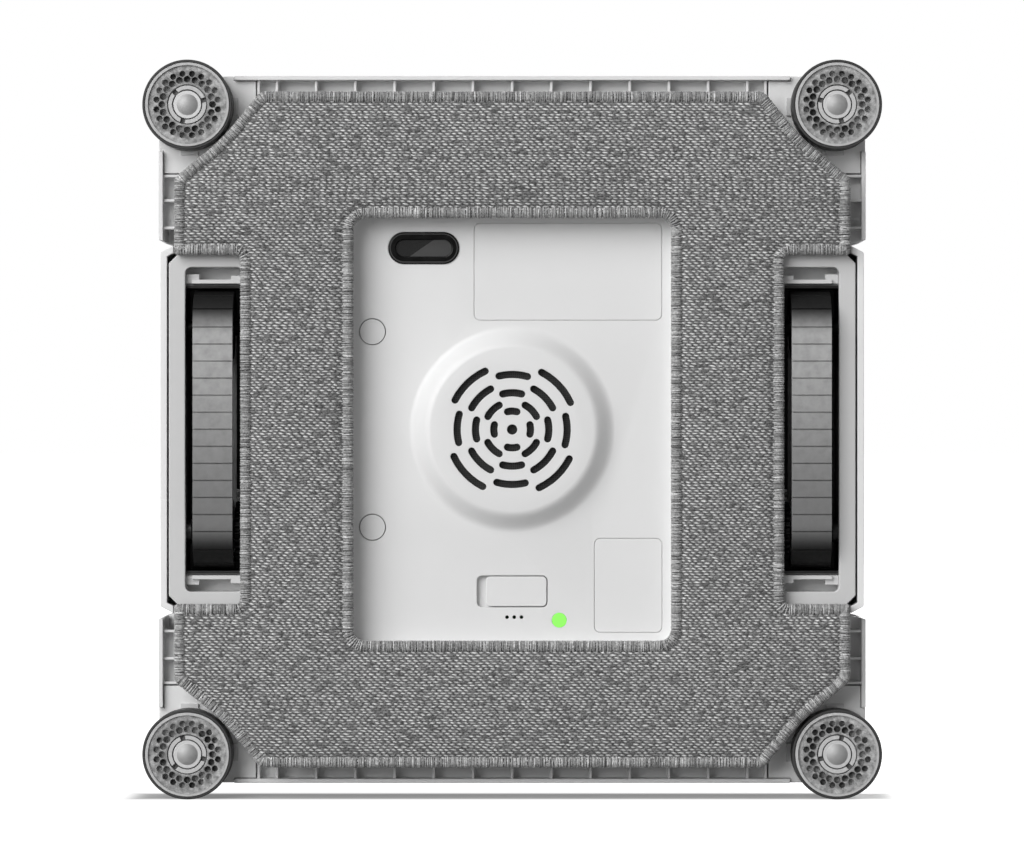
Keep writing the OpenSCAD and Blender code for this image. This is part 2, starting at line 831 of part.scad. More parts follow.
module battery_cells() placed() color("royalblue")
    for (s = [-1, 1], t = [-1, 1])
        translate([s * (cell_len + cell_gap) / 2 - cell_len / 2,
                   tray_y + tray_t + cell_r, tray_z + t * (cell_r + cell_gap / 2)])
            rotate([0, 90, 0]) cylinder(r = cell_r, h = cell_len);

module main_board() placed() color("green")
    at(0, board_z) {
        slab(board_y, board_y + board_t) square(2 * [board_half_w, board_half_h], center = true);
        for (c = chip_sizes) translate([c[0], board_y - chip_t, c[1]])
            block(-c[2] / 2, c[2] / 2, 0, chip_t, -c[3] / 2, c[3] / 2);
    }

// Bumpers

notch_x = 112.6;
notch_z = 61;
bumper_end_z = notch_z + bumper_travel + slide_gap;
bumper_end_slope = 1.2;
lid_gap = 0.5;
rim_end = 92.8;
ledge_inner = 97.2;
rib_t = 0.9;
rib_pitch = 13.1;
ribs_each_side = 6;
side_rib_pitch = 9.1;
end_rib_gap = 0.45;
rib_drop = 1.6;
carrier_inner = 85.6;
carrier_y = 14;
carrier_gap = 0.15;

module bumper_square(inset) {
    rounded_box(bumper_half - inset, bumper_half - inset, casing_corner_r - inset);
}

// Everything above the slanting ends of the upper bumper's legs
module above_notches() {
    polygon([
        [-2 * bumper_half, 2 * bumper_half], [-bumper_half, bumper_end_z + bumper_end_slope],
        [-notch_x, bumper_end_z], [notch_x, bumper_end_z],
        [bumper_half, bumper_end_z + bumper_end_slope], [2 * bumper_half, 2 * bumper_half]]);
}

module corner_squares(edge) {
    for (s = [-1, 1]) translate([s * (edge + bumper_half / 2), edge + bumper_half / 2])
        square([bumper_half, bumper_half], center = true);
}

module bumper() color("white") {
    difference() {
        slab(rim_y, lid_y - lid_gap) intersection() {
            difference() {
                bumper_square(0);
                bumper_square(bumper_skin);
            }
            above_notches();
        }
        slab(rim_y - cut, ledge_y) corner_squares(rim_end);
    }
    slab(ledge_y, ledge_y + ledge_t) intersection() {
        difference() {
            bumper_square(bumper_skin / 2);
            square(2 * [ledge_inner, ledge_inner], center = true);
            translate([-bumper_half - cut, 0])
                square([bumper_half - ledge_inner + 2 * cut, carrier_inner - 2 * side_rib_pitch]);
        }
        above_notches();
    }
    rib_inner = ledge_inner + rib_t;
    rib_len = bumper_half - bumper_skin / 2 - rib_inner;
    slab(rim_y + rib_drop, ledge_y + ledge_t / 2) {
        for (k = [-ribs_each_side : ribs_each_side])
            translate([k * rib_pitch - rib_t / 2, rib_inner]) square([rib_t, rib_len]);
        for (s = [-1, 1], k = [1, 2]) mirror([s < 0 ? 1 : 0, 0])
            translate([rib_inner, carrier_inner - k * side_rib_pitch - rib_t / 2])
                square([rib_len, rib_t]);
        for (s = [-1, 1]) mirror([s < 0 ? 1 : 0, 0]) {
            translate([carrier_inner - end_rib_gap - rib_t, rib_inner]) square([rib_t, rib_len]);
            translate([rib_inner, carrier_inner - end_rib_gap - rib_t]) square([rib_len, rib_t]);
        }
    }
}

module bumper_upper() placed() on_level(1) bumper();

module bumper_lower() placed() on_level(-1) bumper();

// The blocks in the bumper's corners that carry the rollers
module corner_carriers() color("gainsboro")
    slab(carrier_y, ledge_y) intersection() {
        difference() {
            corner_squares(carrier_inner);
            square(2 * [ledge_inner, ledge_inner], center = true);
        }
        bumper_square(0);
        union() {
            bumper_square(bumper_skin + carrier_gap);
            corner_squares(rim_end + carrier_gap);
        }
    }

module corner_carriers_upper() placed() on_level(1) corner_carriers();

module corner_carriers_lower() placed() on_level(-1) corner_carriers();

// Leaf springs bowed between the casing wall and the bumper band
spring_y0 = 24;
spring_y1 = 30;
spring_x = 45;
spring_half = 14;
spring_t = 0.8;

module leaf_springs() color("silver") {
    crown = bumper_half - bumper_skin - spring_t;
    foot = inner_half;
    slab(spring_y0, spring_y1) for (s = [-1, 1]) translate([s * spring_x, 0])
        polygon([
            [-spring_half, foot], [-spring_half + 2 * spring_t, foot], [0, crown],
            [spring_half - 2 * spring_t, foot], [spring_half, foot],
            [spring_t, crown + spring_t], [-spring_t, crown + spring_t]]);
}

module leaf_springs_upper() placed() on_level(1) leaf_springs();

module leaf_springs_lower() placed() on_level(-1) leaf_springs();

bump_switch_w = 20;
bump_switch_h = 6.5;
bump_lever_h = 12;

module bumper_switches() placed() color("black")
    for (level = [-1, 1]) on_level(level) slab(spring_y0, spring_y1) polygon([
        [-bump_switch_w / 2, inner_half], [bump_switch_w / 2, inner_half],
        [bump_switch_w / 2, inner_half + bump_switch_h],
        [-bump_switch_w / 4, inner_half + bump_switch_h],
        [bump_switch_w / 2, inner_half + bump_switch_h + bump_lever_h / 2],
        [-bump_switch_w / 2, inner_half + bump_switch_h]]);

// Corner rollers

foot_ear_w = 6;
foot_reach = 16.2;
foot_r = 9;
washer_r = 4.65;
washer_t = 0.7;
cap_r = 3.5;
cap_h = 1.1;
head_drop = 0.9;
claw_outer_r = 6.3;
claw_tilt = 15;
claw_inner_r = 5;
claw_gap_w = 1.6;
claw_h = 2.2;
hub_hole_ring = [8.4, 10.3];
hub_dimple_r = [1.1, 1.0];
dimple_d = 2;
lip_w = 0.9;
lip_h = 0.7;
hub_groove_w = 0.35;
hub_r = roller_r - tyre_t;

module at_roller(side, level) {
    at(side * roller_offset, level * roller_offset) children();
}

// An axle pin with a domed head, standing on a cross-shaped foot
module axle_pin() color("darkgray") {
    washer_y = roller_y + head_drop + washer_t;
    pin_foot = roller_y + roller_t + slide_gap;
    rod_y(pin_r, washer_y, pin_foot);
    rod_y(washer_r, washer_y - washer_t, washer_y);
    dome_r = (cap_r * cap_r + cap_h * cap_h) / (2 * cap_h);
    translate([0, washer_y - washer_t, 0]) intersection() {
        translate([0, dome_r - cap_h, 0]) sphere(r = dome_r);
        rod_y(cap_r, -cap_h, 0);
    }
    slab(pin_foot, carrier_y) {
        circle(r = foot_r);
        square([2 * foot_reach, foot_ear_w], center = true);
        square([foot_ear_w, 2 * foot_reach], center = true);
    }
}

module axle_pins(level) placed() for (side = [-1, 1]) at_roller(side, level)
    intersection() {
        axle_pin();
        block(side > 0 ? -foot_reach : roller_offset - bumper_half + bumper_skin,
              side > 0 ? bumper_half - bumper_skin - roller_offset : foot_reach,
              0, carrier_y,
              level > 0 ? -foot_reach : roller_offset - bumper_half + bumper_skin,
              level > 0 ? bumper_half - bumper_skin - roller_offset : foot_reach);
    }

module axle_pins_upper() axle_pins(1);

module axle_pins_lower() axle_pins(-1);

// The claws' gaps are turned so that the four rollers mirror each other
module roller_hub(side, level) placed() at_roller(side, level) color("silver")
    difference() {
        turned() polygon([
            [pin_r + run_gap, roller_y + head_drop + washer_t + slide_gap],
            [claw_inner_r, roller_y + head_drop + washer_t + slide_gap],
            [claw_inner_r, roller_y + lip_h], [claw_outer_r, roller_y + lip_h],
            [claw_outer_r, roller_y + claw_h], [claw_outer_r + hub_groove_w, roller_y + claw_h],
            [claw_outer_r + hub_groove_w, roller_y + lip_h], [hub_r - lip_w, roller_y + lip_h],
            [hub_r - lip_w, roller_y], [hub_r, roller_y],
            [hub_r, roller_y + roller_t], [pin_r + run_gap, roller_y + roller_t]]);
        for (k = [0 : 2]) rotate([0, level * (90 - claw_tilt * side) + k * 120, 0])
            block(claw_inner_r - seat, claw_outer_r + seat, roller_y - cut, roller_y + claw_h,
                  -claw_gap_w / 2, claw_gap_w / 2);
        for (ring = [0, 1], k = [0 : roller_holes - 1])
            rotate([0, (k + ring / 2) * 360 / roller_holes, 0])
                at(hub_hole_ring[ring], 0)
                    rod_y(hub_dimple_r[ring], roller_y - cut, roller_y + lip_h + dimple_d);
    }

module roller_tyre() color("dimgray")
    slab(roller_y + tyre_t / 4, roller_y + roller_t) difference() {
        circle(r = roller_r);
        circle(r = hub_r);
    }

module roller_hub_upper_left() roller_hub(-1, 1);

module roller_hub_upper_right() roller_hub(1, 1);

module roller_hub_lower_left() roller_hub(-1, -1);

module roller_hub_lower_right() roller_hub(1, -1);

module roller_tyre_upper_left() placed() at_roller(-1, 1) roller_tyre();

module roller_tyre_upper_right() placed() at_roller(1, 1) roller_tyre();

module roller_tyre_lower_left() placed() at_roller(-1, -1) roller_tyre();

module roller_tyre_lower_right() placed() at_roller(1, -1) roller_tyre();

// Casing

lid_wall = 2;
lid_inset = 18;
lid_slice = 0.1;
lid_slices = 8;
lid_corner_steps = 14;
top_dome_r = 42;
top_dome_h = 3.5;
vent_inner_r = 24;
vent_outer_r = 36;
vent_slots = 36;
vent_slot_w = 1.8;
boss_wall = 2.6;
inner_corner_r = 4;
notch_r = 0.8;
inlet_x = 74;
inlet_z = 70;
inlet_r = 6;
inlet_bore_r = 3.2;
inlet_depth = 9;
lug_x = 8;
lug_t = 3;
lug_z = 86;
lug_r = 2.8;
ring_wire_r = 1.4;
ring_rise = 3.4;
ring_half_w = 13;
ring_drop = 13;

// A square outline with finely rounded corners
module lid_outline(half, r) {
    polygon([for (k = [0 : 3], i = [0 : lid_corner_steps])
        let (a = 90 * (k + i / lid_corner_steps), m = 90 * k + 45)
        (half - r) * sqrt(2) * [cos(m), sin(m)] + r * [cos(a), sin(a)]]);
}

// The lid's solid shape, shrunk all round by a wall; its edge is a quarter of an ellipse
module lid_form(wall) {
    hull() for (i = [0 : lid_slices]) {
        turn = 90 * i / lid_slices;
        inset = lid_inset * (1 - cos(turn));
        y = lid_y + (lid_back_y - wall - lid_y) * sin(turn);
        slab(y - lid_slice, y) lid_outline(bumper_half - wall - inset, casing_corner_r + inset - wall);
    }
}

skirt_quarter = [
    [side_half, side_half_h], [notch_x, notch_z], [inner_half, notch_z], [inner_half, inner_half]];
skirt_loop = four_quarters(skirt_quarter);
skirt_radii = four_radii([notch_r, notch_r, notch_r, inner_corner_r]);

module skirt_wall() {
    difference() {
        polygon(rounded_loop(skirt_loop, skirt_radii));
        polygon(inset_loop(skirt_loop, casing_wall));
    }
}

// What the middle sections and the notches leave out of the lid's square
module side_steps() {
    for (s = [-1, 1]) mirror([s < 0 ? 1 : 0, 0]) polygon([
        [side_half, -side_half_h], [2 * bumper_half, -side_half_h], [2 * bumper_half, side_half_h],
        [side_half, side_half_h]]);
    for (s = [-1, 1], t = [-1, 1]) scale([s, t]) polygon([
        [side_half, side_half_h - cut], [notch_x, notch_z], [notch_x, bumper_end_z],
        [bumper_half, bumper_end_z + bumper_end_slope],
        [2 * bumper_half, bumper_end_z + bumper_end_slope], [2 * bumper_half, side_half_h - cut]]);
}

module top_shell() placed() color("white")
    difference() {
        union() {
            difference() {
                union() {
                    difference() {
                        lid_form(0);
                        slab(lid_y - cut, lid_back_y + cut) side_steps();
                    }
                    translate([0, lid_back_y, 0]) turned() polygon([
                        [0, -lid_wall], [top_dome_r, -lid_wall], [top_dome_r, 0],
                        [top_dome_r - top_dome_h, top_dome_h], [0, top_dome_h]]);
                }
                intersection() {
                    lid_form(lid_wall);
                    slab(lid_y - cut, lid_back_y) square(
                        2 * [notch_x - casing_wall, bumper_half], center = true);
                }
                translate([0, lid_back_y - 2 * lid_wall, 0])
                    rod_y(top_dome_r - top_dome_h - lid_wall, 0, top_dome_h + lid_wall);
            }
            slab(plate_back, lid_y + cut) skirt_wall();
            slab(frame_y, plate_back) intersection() {
                skirt_wall();
                difference() {
                    square(4 * [bumper_half, notch_z / 2], center = true);
                    square(2 * [notch_x, bumper_half], center = true);
                }
            }
            for (p = screw_places) at(p.x, p.y)
                rod_y(screw_r + boss_wall, plate_back, lid_back_y - lid_wall);
            for (s = [-1, 1]) translate([s * lug_x - lug_t / 2, lid_back_y, lug_z - lug_r]) {
                cube([lug_t, ring_rise, 2 * lug_r]);
                translate([0, ring_rise, lug_r]) rod_x(lug_r, 0, lug_t);
            }
        }
        slab(lid_back_y, lid_back_y + top_dome_h + cut)
            for (k = [0 : vent_slots - 1]) rotate(k * 360 / vent_slots)
                translate([(vent_inner_r + vent_outer_r) / 2, 0])
                    stadium(vent_outer_r - vent_inner_r, vent_slot_w);
        at(inlet_x, inlet_z) rod_y(inlet_r + seat, lid_y, lid_back_y + cut);
        for (p = screw_places) at(p.x, p.y)
            rod_y(screw_r, plate_back - cut, lid_y);
        translate([0, lid_back_y + ring_rise, lug_z])
            rod_x(ring_wire_r + run_gap, -lug_x - lug_t, lug_x + lug_t);
    }

screw_len = 14;
screw_socket_r = 1.3;

// Countersunk into the carrier plate under the hook sheet, and up into the lid's posts
module casing_screws() placed() color("silver")
    for (p = screw_places) at(p.x, p.y) difference() {
        union() {
            rod_y(screw_head_r, plate_y + seat, plate_y + screw_head_t);
            rod_y(screw_r - seat / 2, plate_y + screw_head_t, plate_y + screw_head_t + screw_len);
        }
        rod_y(screw_socket_r, plate_y - cut, plate_y + screw_head_t / 2, $fn = 6);
    }

// The underside of the bar is clear of the dome, so a hand fits under it
handle_slope = 14;
handle_leg = 14;
handle_corner_r = 13;
grip_t = 1.4;
grip_half_len = 30;
grip_margin = 4;
grip_grooves = 5;
grip_groove_w = 3;
ring_r = button_r + 2.8;
ring_w = 1.8;
button_t = 3.2;
button_edge = 0.8;

module handle() placed() color("white")
    difference() {
        translate([0, 0, -handle_w / 2]) linear_extrude(handle_w) difference() {
            polygon(rounded_loop(
                [[-handle_half, lid_back_y], [handle_half, lid_back_y],
                 [handle_half - handle_slope, handle_y], [-handle_half + handle_slope, handle_y]],
                [0, 0, handle_corner_r, handle_corner_r]));
            polygon(rounded_loop(
                [[-handle_half + handle_leg, lid_back_y - cut],
                 [handle_half - handle_leg, lid_back_y - cut],
                 [handle_half - handle_leg - handle_slope, handle_y - handle_t],
                 [-handle_half + handle_leg + handle_slope, handle_y - handle_t]],
                [0, 0, handle_corner_r / 2, handle_corner_r / 2]));
        }
        rod_y(button_r + slide_gap, handle_y - button_t - button_travel, handle_y + cut);
        rod_y(ring_r, handle_y - ring_w, handle_y + cut);
    }

// A soft strip under the bar, grooved across
module handle_grip() placed() color("dimgray")
    difference() {
        block(-grip_half_len, grip_half_len, handle_y - handle_t - grip_t, handle_y - handle_t,
              grip_margin - handle_w / 2, handle_w / 2 - grip_margin);
        for (k = [0 : grip_grooves - 1])
            translate([(k - (grip_grooves - 1) / 2) * 2 * grip_half_len / grip_grooves,
                       handle_y - handle_t - grip_t, -handle_w / 2])
                scale([1, grip_t / grip_groove_w, 1]) cylinder(r = grip_groove_w / 2, h = handle_w);
    }

module indicator_ring() placed() color("deepskyblue")
    difference() {
        rod_y(ring_r - seat, handle_y - ring_w, handle_y);
        rod_y(ring_r - ring_w, handle_y - ring_w - cut, handle_y + cut);
    }

module start_button() placed() color("gainsboro")
    turned() polygon([
        [0, handle_y - button_t + slide_gap], [button_r, handle_y - button_t + slide_gap],
        [button_r, handle_y - button_edge / 2], [button_r - button_edge, handle_y + button_proud],
        [0, handle_y + button_proud]]);

inlet_flange_r = 7.5;
inlet_flange_t = 0.8;

module charging_inlet() placed() color("black")
    at(inlet_x, inlet_z) {
        difference() {
            union() {
                rod_y(inlet_r, lid_back_y - inlet_depth - lid_wall, lid_back_y);
                rod_y(inlet_flange_r, lid_back_y, lid_back_y + inlet_flange_t);
            }
            rod_y(inlet_bore_r, lid_back_y + inlet_flange_t - inlet_depth,
                  lid_back_y + inlet_flange_t + cut);
        }
    }

// A wire loop that hangs from the two lugs
module tether_ring() placed() color("silver")
    translate([0, lid_back_y + ring_rise, lug_z]) {
        rod_x(ring_wire_r, -ring_half_w, ring_half_w);
        translate([0, 0, -ring_drop]) rod_x(ring_wire_r, -ring_half_w, ring_half_w);
        for (s = [-1, 1]) translate([s * ring_half_w, 0, -ring_drop]) {
            cylinder(r = ring_wire_r, h = ring_drop);
            sphere(r = ring_wire_r);
            translate([0, 0, ring_drop]) sphere(r = ring_wire_r);
        }
    }

pad();
hook_sheet();
base_plate();
belly_panel();
intake_filter();
sensor_bezel();
sensor_lens();
screw_plugs();
label_plates();
status_lamp();
power_slider();
switch_module();
fan_housing();
impeller();
fan_shaft();
fan_motor();
track_frames();
track_wells();
belt_left();
belt_right();
belt_scrapers();
idler_axles();
drive_pulley_left();
drive_pulley_right();
drive_axle_left();
drive_axle_right();
idler_pulley_left();
idler_pulley_right();
motor_pinion_left();
motor_pinion_right();
gearheads();
drive_motors();
battery_tray();
battery_cells();
main_board();
bumper_upper();
bumper_lower();
corner_carriers_upper();
corner_carriers_lower();
axle_pins_upper();
axle_pins_lower();
leaf_springs_upper();
leaf_springs_lower();
bumper_switches();
roller_hub_upper_left();
roller_hub_upper_right();
roller_hub_lower_left();
roller_hub_lower_right();
roller_tyre_upper_left();
roller_tyre_upper_right();
roller_tyre_lower_left();
roller_tyre_lower_right();
top_shell();
casing_screws();
handle();
handle_grip();
indicator_ring();
start_button();
charging_inlet();
tether_ring();
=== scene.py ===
"""The window cleaning robot's looks: the woven pad, smooth edges, finishes, light and camera."""
import json
import math

import bmesh
import bpy
import numpy as np
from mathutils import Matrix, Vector


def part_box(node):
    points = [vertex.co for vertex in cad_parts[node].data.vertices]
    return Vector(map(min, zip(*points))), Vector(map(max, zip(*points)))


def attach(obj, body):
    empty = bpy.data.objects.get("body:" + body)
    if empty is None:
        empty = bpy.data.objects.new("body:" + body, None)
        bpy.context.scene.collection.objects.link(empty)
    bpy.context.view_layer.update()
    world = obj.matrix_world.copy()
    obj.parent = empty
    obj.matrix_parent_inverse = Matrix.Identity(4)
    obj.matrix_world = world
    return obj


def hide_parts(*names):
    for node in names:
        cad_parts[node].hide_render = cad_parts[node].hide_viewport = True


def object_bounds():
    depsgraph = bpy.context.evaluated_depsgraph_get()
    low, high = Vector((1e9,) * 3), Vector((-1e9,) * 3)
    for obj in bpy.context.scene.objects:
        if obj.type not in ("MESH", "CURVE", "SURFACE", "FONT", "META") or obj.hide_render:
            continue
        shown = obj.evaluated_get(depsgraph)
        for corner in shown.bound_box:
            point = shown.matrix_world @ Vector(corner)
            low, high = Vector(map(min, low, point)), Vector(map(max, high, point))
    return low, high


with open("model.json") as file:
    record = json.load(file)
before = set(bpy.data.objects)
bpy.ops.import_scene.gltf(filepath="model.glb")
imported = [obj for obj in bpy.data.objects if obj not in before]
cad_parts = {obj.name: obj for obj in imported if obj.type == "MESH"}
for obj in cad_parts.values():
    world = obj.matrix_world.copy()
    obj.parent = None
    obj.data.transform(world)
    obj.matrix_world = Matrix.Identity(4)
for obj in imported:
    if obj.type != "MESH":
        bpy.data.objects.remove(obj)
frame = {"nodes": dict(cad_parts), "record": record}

MM = 0.001
cad_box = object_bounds()
record = frame["record"]

# The robot's middle height, the pane's plane and the plane of the rollers' faces
MIDDLE_Z = (cad_box[0][2] + cad_box[1][2]) / 2
GLASS_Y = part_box("pad")[0].y
FACE_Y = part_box("roller_hub_upper_left")[0].y


# Materials

class Look:
    """A procedural material while its nodes are laid out.

    A value is a number, a colour or a node's output.
    """

    def __init__(self, name, **sockets):
        self.material = bpy.data.materials.new(name)
        self.material.use_nodes = True
        self.tree = self.material.node_tree
        self.shader = self.tree.nodes["Principled BSDF"]
        for socket, value in sockets.items():
            self.set(self.shader, socket.replace("_", " "), value)
        self.place = self.add("ShaderNodeTexCoord").outputs["Object"]

    def set(self, node, socket, value):
        if isinstance(value, bpy.types.NodeSocket):
            self.tree.links.new(value, node.inputs[socket])
        elif isinstance(value, (tuple, list)) and len(node.inputs[socket].default_value) > len(value):
            node.inputs[socket].default_value = (*value, 1.0)
        else:
            node.inputs[socket].default_value = value

    def add(self, kind, sockets=None, **settings):
        node = self.tree.nodes.new(kind)
        for name, value in settings.items():
            setattr(node, name, value)
        for socket, value in (sockets or {}).items():
            self.set(node, socket, value)
        return node

    def calc(self, operation, a, b=0.0, c=0.0):
        node = self.add("ShaderNodeMath", {0: a, 1: b, 2: c}, operation=operation)
        return node.outputs[0]

    def length(self, a, b):
        """The length of the plane vector from a and b."""
        return self.calc("SQRT", self.calc("ADD", self.calc("POWER", a, 2.0), self.calc("POWER", b, 2.0)))

    def noise(self, size, detail=3.0, place=None, rough=0.55):
        """Noise from 0 to 1 whose features are about that size, in metres."""
        place = place or self.place
        sockets = {"Vector": place, "Scale": 1 / size, "Detail": detail, "Roughness": rough}
        return self.add("ShaderNodeTexNoise", sockets).outputs["Fac"]

    def chance(self, place):
        return self.add("ShaderNodeTexWhiteNoise", {"Vector": place}).outputs["Value"]

    def spread(self, value, low, high, to_low=0.0, to_high=1.0):
        """A smooth step of value from low..high to to_low..to_high."""
        sockets = {"Value": value, "From Min": low, "From Max": high, "To Min": to_low, "To Max": to_high}
        return self.add("ShaderNodeMapRange", sockets, interpolation_type="SMOOTHSTEP").outputs["Result"]

    def mix(self, share, a, b, blend="MIX"):
        node = self.add("ShaderNodeMix", data_type="RGBA", blend_type=blend)
        self.set(node, 0, share)
        self.set(node, 6, a)
        self.set(node, 7, b)
        return node.outputs[2]

    def ramp(self, share, stops):
        node = self.add("ShaderNodeValToRGB", {"Fac": share})
        elements = node.color_ramp.elements
        while len(elements) < len(stops):
            elements.new(0.5)
        for element, (place, tone) in zip(elements, stops):
            element.position = place
            element.color = (*tone, 1.0)
        return node.outputs["Color"]

    def axes(self, place=None):
        return self.add("ShaderNodeSeparateXYZ", {"Vector": place or self.place}).outputs

    def join(self, x, y, z=0.0):
        return self.add("ShaderNodeCombineXYZ", {"X": x, "Y": y, "Z": z}).outputs[0]

    def soften(self, radius):
        """A normal that rounds the edges within that radius."""
        return self.add("ShaderNodeBevel", {"Radius": radius}, samples=4).outputs["Normal"]

    def bump(self, height, depth, normal=None):
        """A bump of that depth, in metres, for a height from 0 to 1."""
        node = self.add("ShaderNodeBump", {"Strength": 1.0, "Distance": depth, "Height": height})
        if normal is not None:
            self.set(node, "Normal", normal)
        return node.outputs["Normal"]

    def finish(self, color=None, roughness=None, normal=None):
        for socket, value in (("Base Color", color), ("Roughness", roughness), ("Normal", normal)):
            if value is not None:
                self.set(self.shader, socket, value)
        return self.material


def grey(level):
    """A neutral colour whose sRGB level is given from 0 to 255."""
    share = level / 255
    linear = share / 12.92 if share <= 0.04045 else ((share + 0.055) / 1.055) ** 2.4
    return (linear, linear, linear)


def tint(color, factor):
    return tuple(channel * factor for channel in color)


def moulded(name, color, roughness, edge=0.35 * MM, grain=0.12 * MM, depth=0.006 * MM, wear=0.016,
            **sockets):
    """Injection-moulded plastic: a fine grain, a faint cloudiness, and edges that catch the light."""
    look = Look(name, **sockets)
    cloud = look.noise(14 * MM, 4)
    shade = look.mix(cloud, tint(color, 1 - wear), tint(color, 1 + wear / 2))
    speck = look.spread(look.noise(0.5 * MM, 2), 0.6, 0.8, 0.0, 0.3 * wear)
    shade = look.mix(speck, shade, tint(color, 0.85))
    gloss = look.spread(look.noise(9 * MM, 3), 0.3, 0.7, roughness - 0.015, roughness + 0.02)
    normal = look.bump(look.noise(grain, 2), depth, look.soften(edge))
    return look.finish(shade, gloss, normal)


def heather_weave():
    """A coarse weave of light floats over dark gaps, each float in its own tone."""
    look = Look("heather_weave", Sheen_Weight=0.25, Sheen_Roughness=0.5, Specular_IOR_Level=0.2)
    float_pitch, row_pitch = 2.24 * MM, 0.895 * MM
    slant, half_height = 0.35, 0.4
    axes = look.axes()
    sway = look.calc("SUBTRACT", look.noise(7 * MM, 2), 0.5)
    lift = look.calc("SUBTRACT", look.noise(5.3 * MM, 2), 0.5)
    across = look.calc("MULTIPLY_ADD", sway, 1.1, look.calc("DIVIDE", axes["X"], float_pitch))
    up = look.calc("MULTIPLY_ADD", lift, 0.9, look.calc("DIVIDE", axes["Z"], row_pitch))
    row = look.calc("FLOOR", up)
    stagger = look.calc("MULTIPLY", look.calc("MODULO", row, 2.0), 0.5)
    jitter = look.calc("MULTIPLY", look.chance(look.join(row, 3.0)), 0.35)
    across = look.calc("ADD", across, look.calc("ADD", stagger, jitter))
    cell = look.calc("FLOOR", across)
    seed = look.join(cell, row)
    u = look.calc("SUBTRACT", look.calc("FRACT", across), 0.5)
    v = look.calc("SUBTRACT", look.calc("FRACT", up), 0.5)
    v = look.calc("MULTIPLY_ADD", u, slant, v)
    wide = look.calc("MULTIPLY_ADD", look.chance(look.join(row, cell)), 0.12, 0.36)
    reach = look.length(look.calc("DIVIDE", u, wide), look.calc("DIVIDE", v, half_height))
    dome = look.spread(reach, 1.15, 0.35)
    fibre = look.noise(0.16 * MM, 4, look.join(look.calc("MULTIPLY", axes["X"], 0.3), axes["Y"], axes["Z"]))
    tone = look.ramp(look.chance(seed), [(0.0, grey(98)), (0.14, grey(182)), (0.45, grey(217)),
                                         (0.8, grey(231)), (1.0, grey(245))])
    warp_tone = look.ramp(look.noise(0.6 * MM, 2), [(0.3, grey(50)), (0.5, grey(98)), (0.7, grey(140))])
    shade = look.mix(dome, warp_tone, tone)
    shade = look.mix(look.spread(fibre, 0.35, 0.75, 0.0, 0.3), shade, grey(84))
    patch = look.spread(look.noise(9 * MM, 3), 0.45, 0.8, 0.0, 0.15)
    shade = look.mix(patch, shade, grey(86))
    height = look.calc("MULTIPLY_ADD", fibre, 0.3, dome)
    return look.finish(shade, 0.9, look.bump(height, 0.35 * MM))


def edging_thread():
    """The overlock thread: each stitch has its own tone, with fine plies along it."""
    look = Look("edging_thread", Sheen_Weight=0.3, Sheen_Roughness=0.5, Specular_IOR_Level=0.2)
    own = look.add("ShaderNodeAttribute", attribute_name="tone").outputs["Fac"]
    shade = look.ramp(own, [(0.0, grey(104)), (0.5, grey(172)), (1.0, grey(238))])
    slub = look.noise(0.75 * MM, 3)
    shade = look.mix(look.spread(slub, 0.38, 0.68, 0.0, 0.55), shade, grey(88))
    fibre = look.noise(0.16 * MM, 4)
    shade = look.mix(look.spread(fibre, 0.4, 0.7, 0.0, 0.35), shade, grey(70))
    return look.finish(shade, 0.85, look.bump(fibre, 0.08 * MM))


def backing_cloth():
    """The hook sheet's dull fibres."""
    look = Look("backing_cloth", Sheen_Weight=0.3)
    fibre = look.noise(0.5 * MM, 5)
    shade = look.mix(fibre, grey(70), grey(130))
    return look.finish(shade, 0.9, look.bump(fibre, 0.15 * MM))


def rubber(name, level, roughness, wear=0.12):
    """Moulded rubber with a little dust in its grain."""
    look = Look(name, Specular_IOR_Level=0.4)
    cloud = look.noise(5 * MM, 5)
    dust = look.spread(look.noise(1.1 * MM, 3), 0.5, 0.75, 0.0, wear)
    shade = look.mix(cloud, grey(level * 0.93), grey(level * 1.04))
    shade = look.mix(dust, shade, grey(min(255, level * 1.3)))
    gloss = look.spread(cloud, 0.3, 0.7, roughness - 0.06, roughness + 0.08)
    normal = look.bump(look.noise(0.2 * MM, 3), 0.012 * MM, look.soften(0.25 * MM))
    return look.finish(shade, gloss, normal)


# The roller's face, as distances from its axis. PIT_RINGS has each ring's radius, its turn as a share of a
# pitch, and its pits' radius
PITS_IN_RING = 18
PIT_RINGS = ((8.4 * MM, 0.5, 1.25 * MM), (10.3 * MM, 0.0, 1.15 * MM))
CLAWS_INNER, CLAWS_OUTER, PITS_START = 4.8 * MM, 6.3 * MM, 6.6 * MM
LIP_START, LIP_END = 12.85 * MM, 13.3 * MM
FACE_EDGE_START, FACE_EDGE_END = 12 * MM, 12.9 * MM
PIN_HEAD_R, WASHER_R = 3.45 * MM, 3.6 * MM


def roller_place(look):
    """Where a point lies from the nearest roller's axis, in X and in Z, outwards from the robot's middle."""
    low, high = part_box("roller_hub_upper_right")
    centre = (low + high) / 2
    axes = look.axes()
    x = look.calc("SUBTRACT", look.calc("ABSOLUTE", axes["X"]), centre.x)
    z = look.calc("ABSOLUTE", look.calc("SUBTRACT", axes["Z"], MIDDLE_Z))
    return x, look.calc("SUBTRACT", z, centre.z - MIDDLE_Z)


def roller_radius(look):
    """The distance from the nearest roller's axis."""
    return look.length(*roller_place(look))


def between(look, value, low, high, soft=0.08 * MM):
    """1 where the value lies between the two, and 0 elsewhere."""
    return look.calc("MULTIPLY", look.spread(value, low - soft, low + soft),
                     look.spread(value, high - soft, high + soft, 1.0, 0.0))


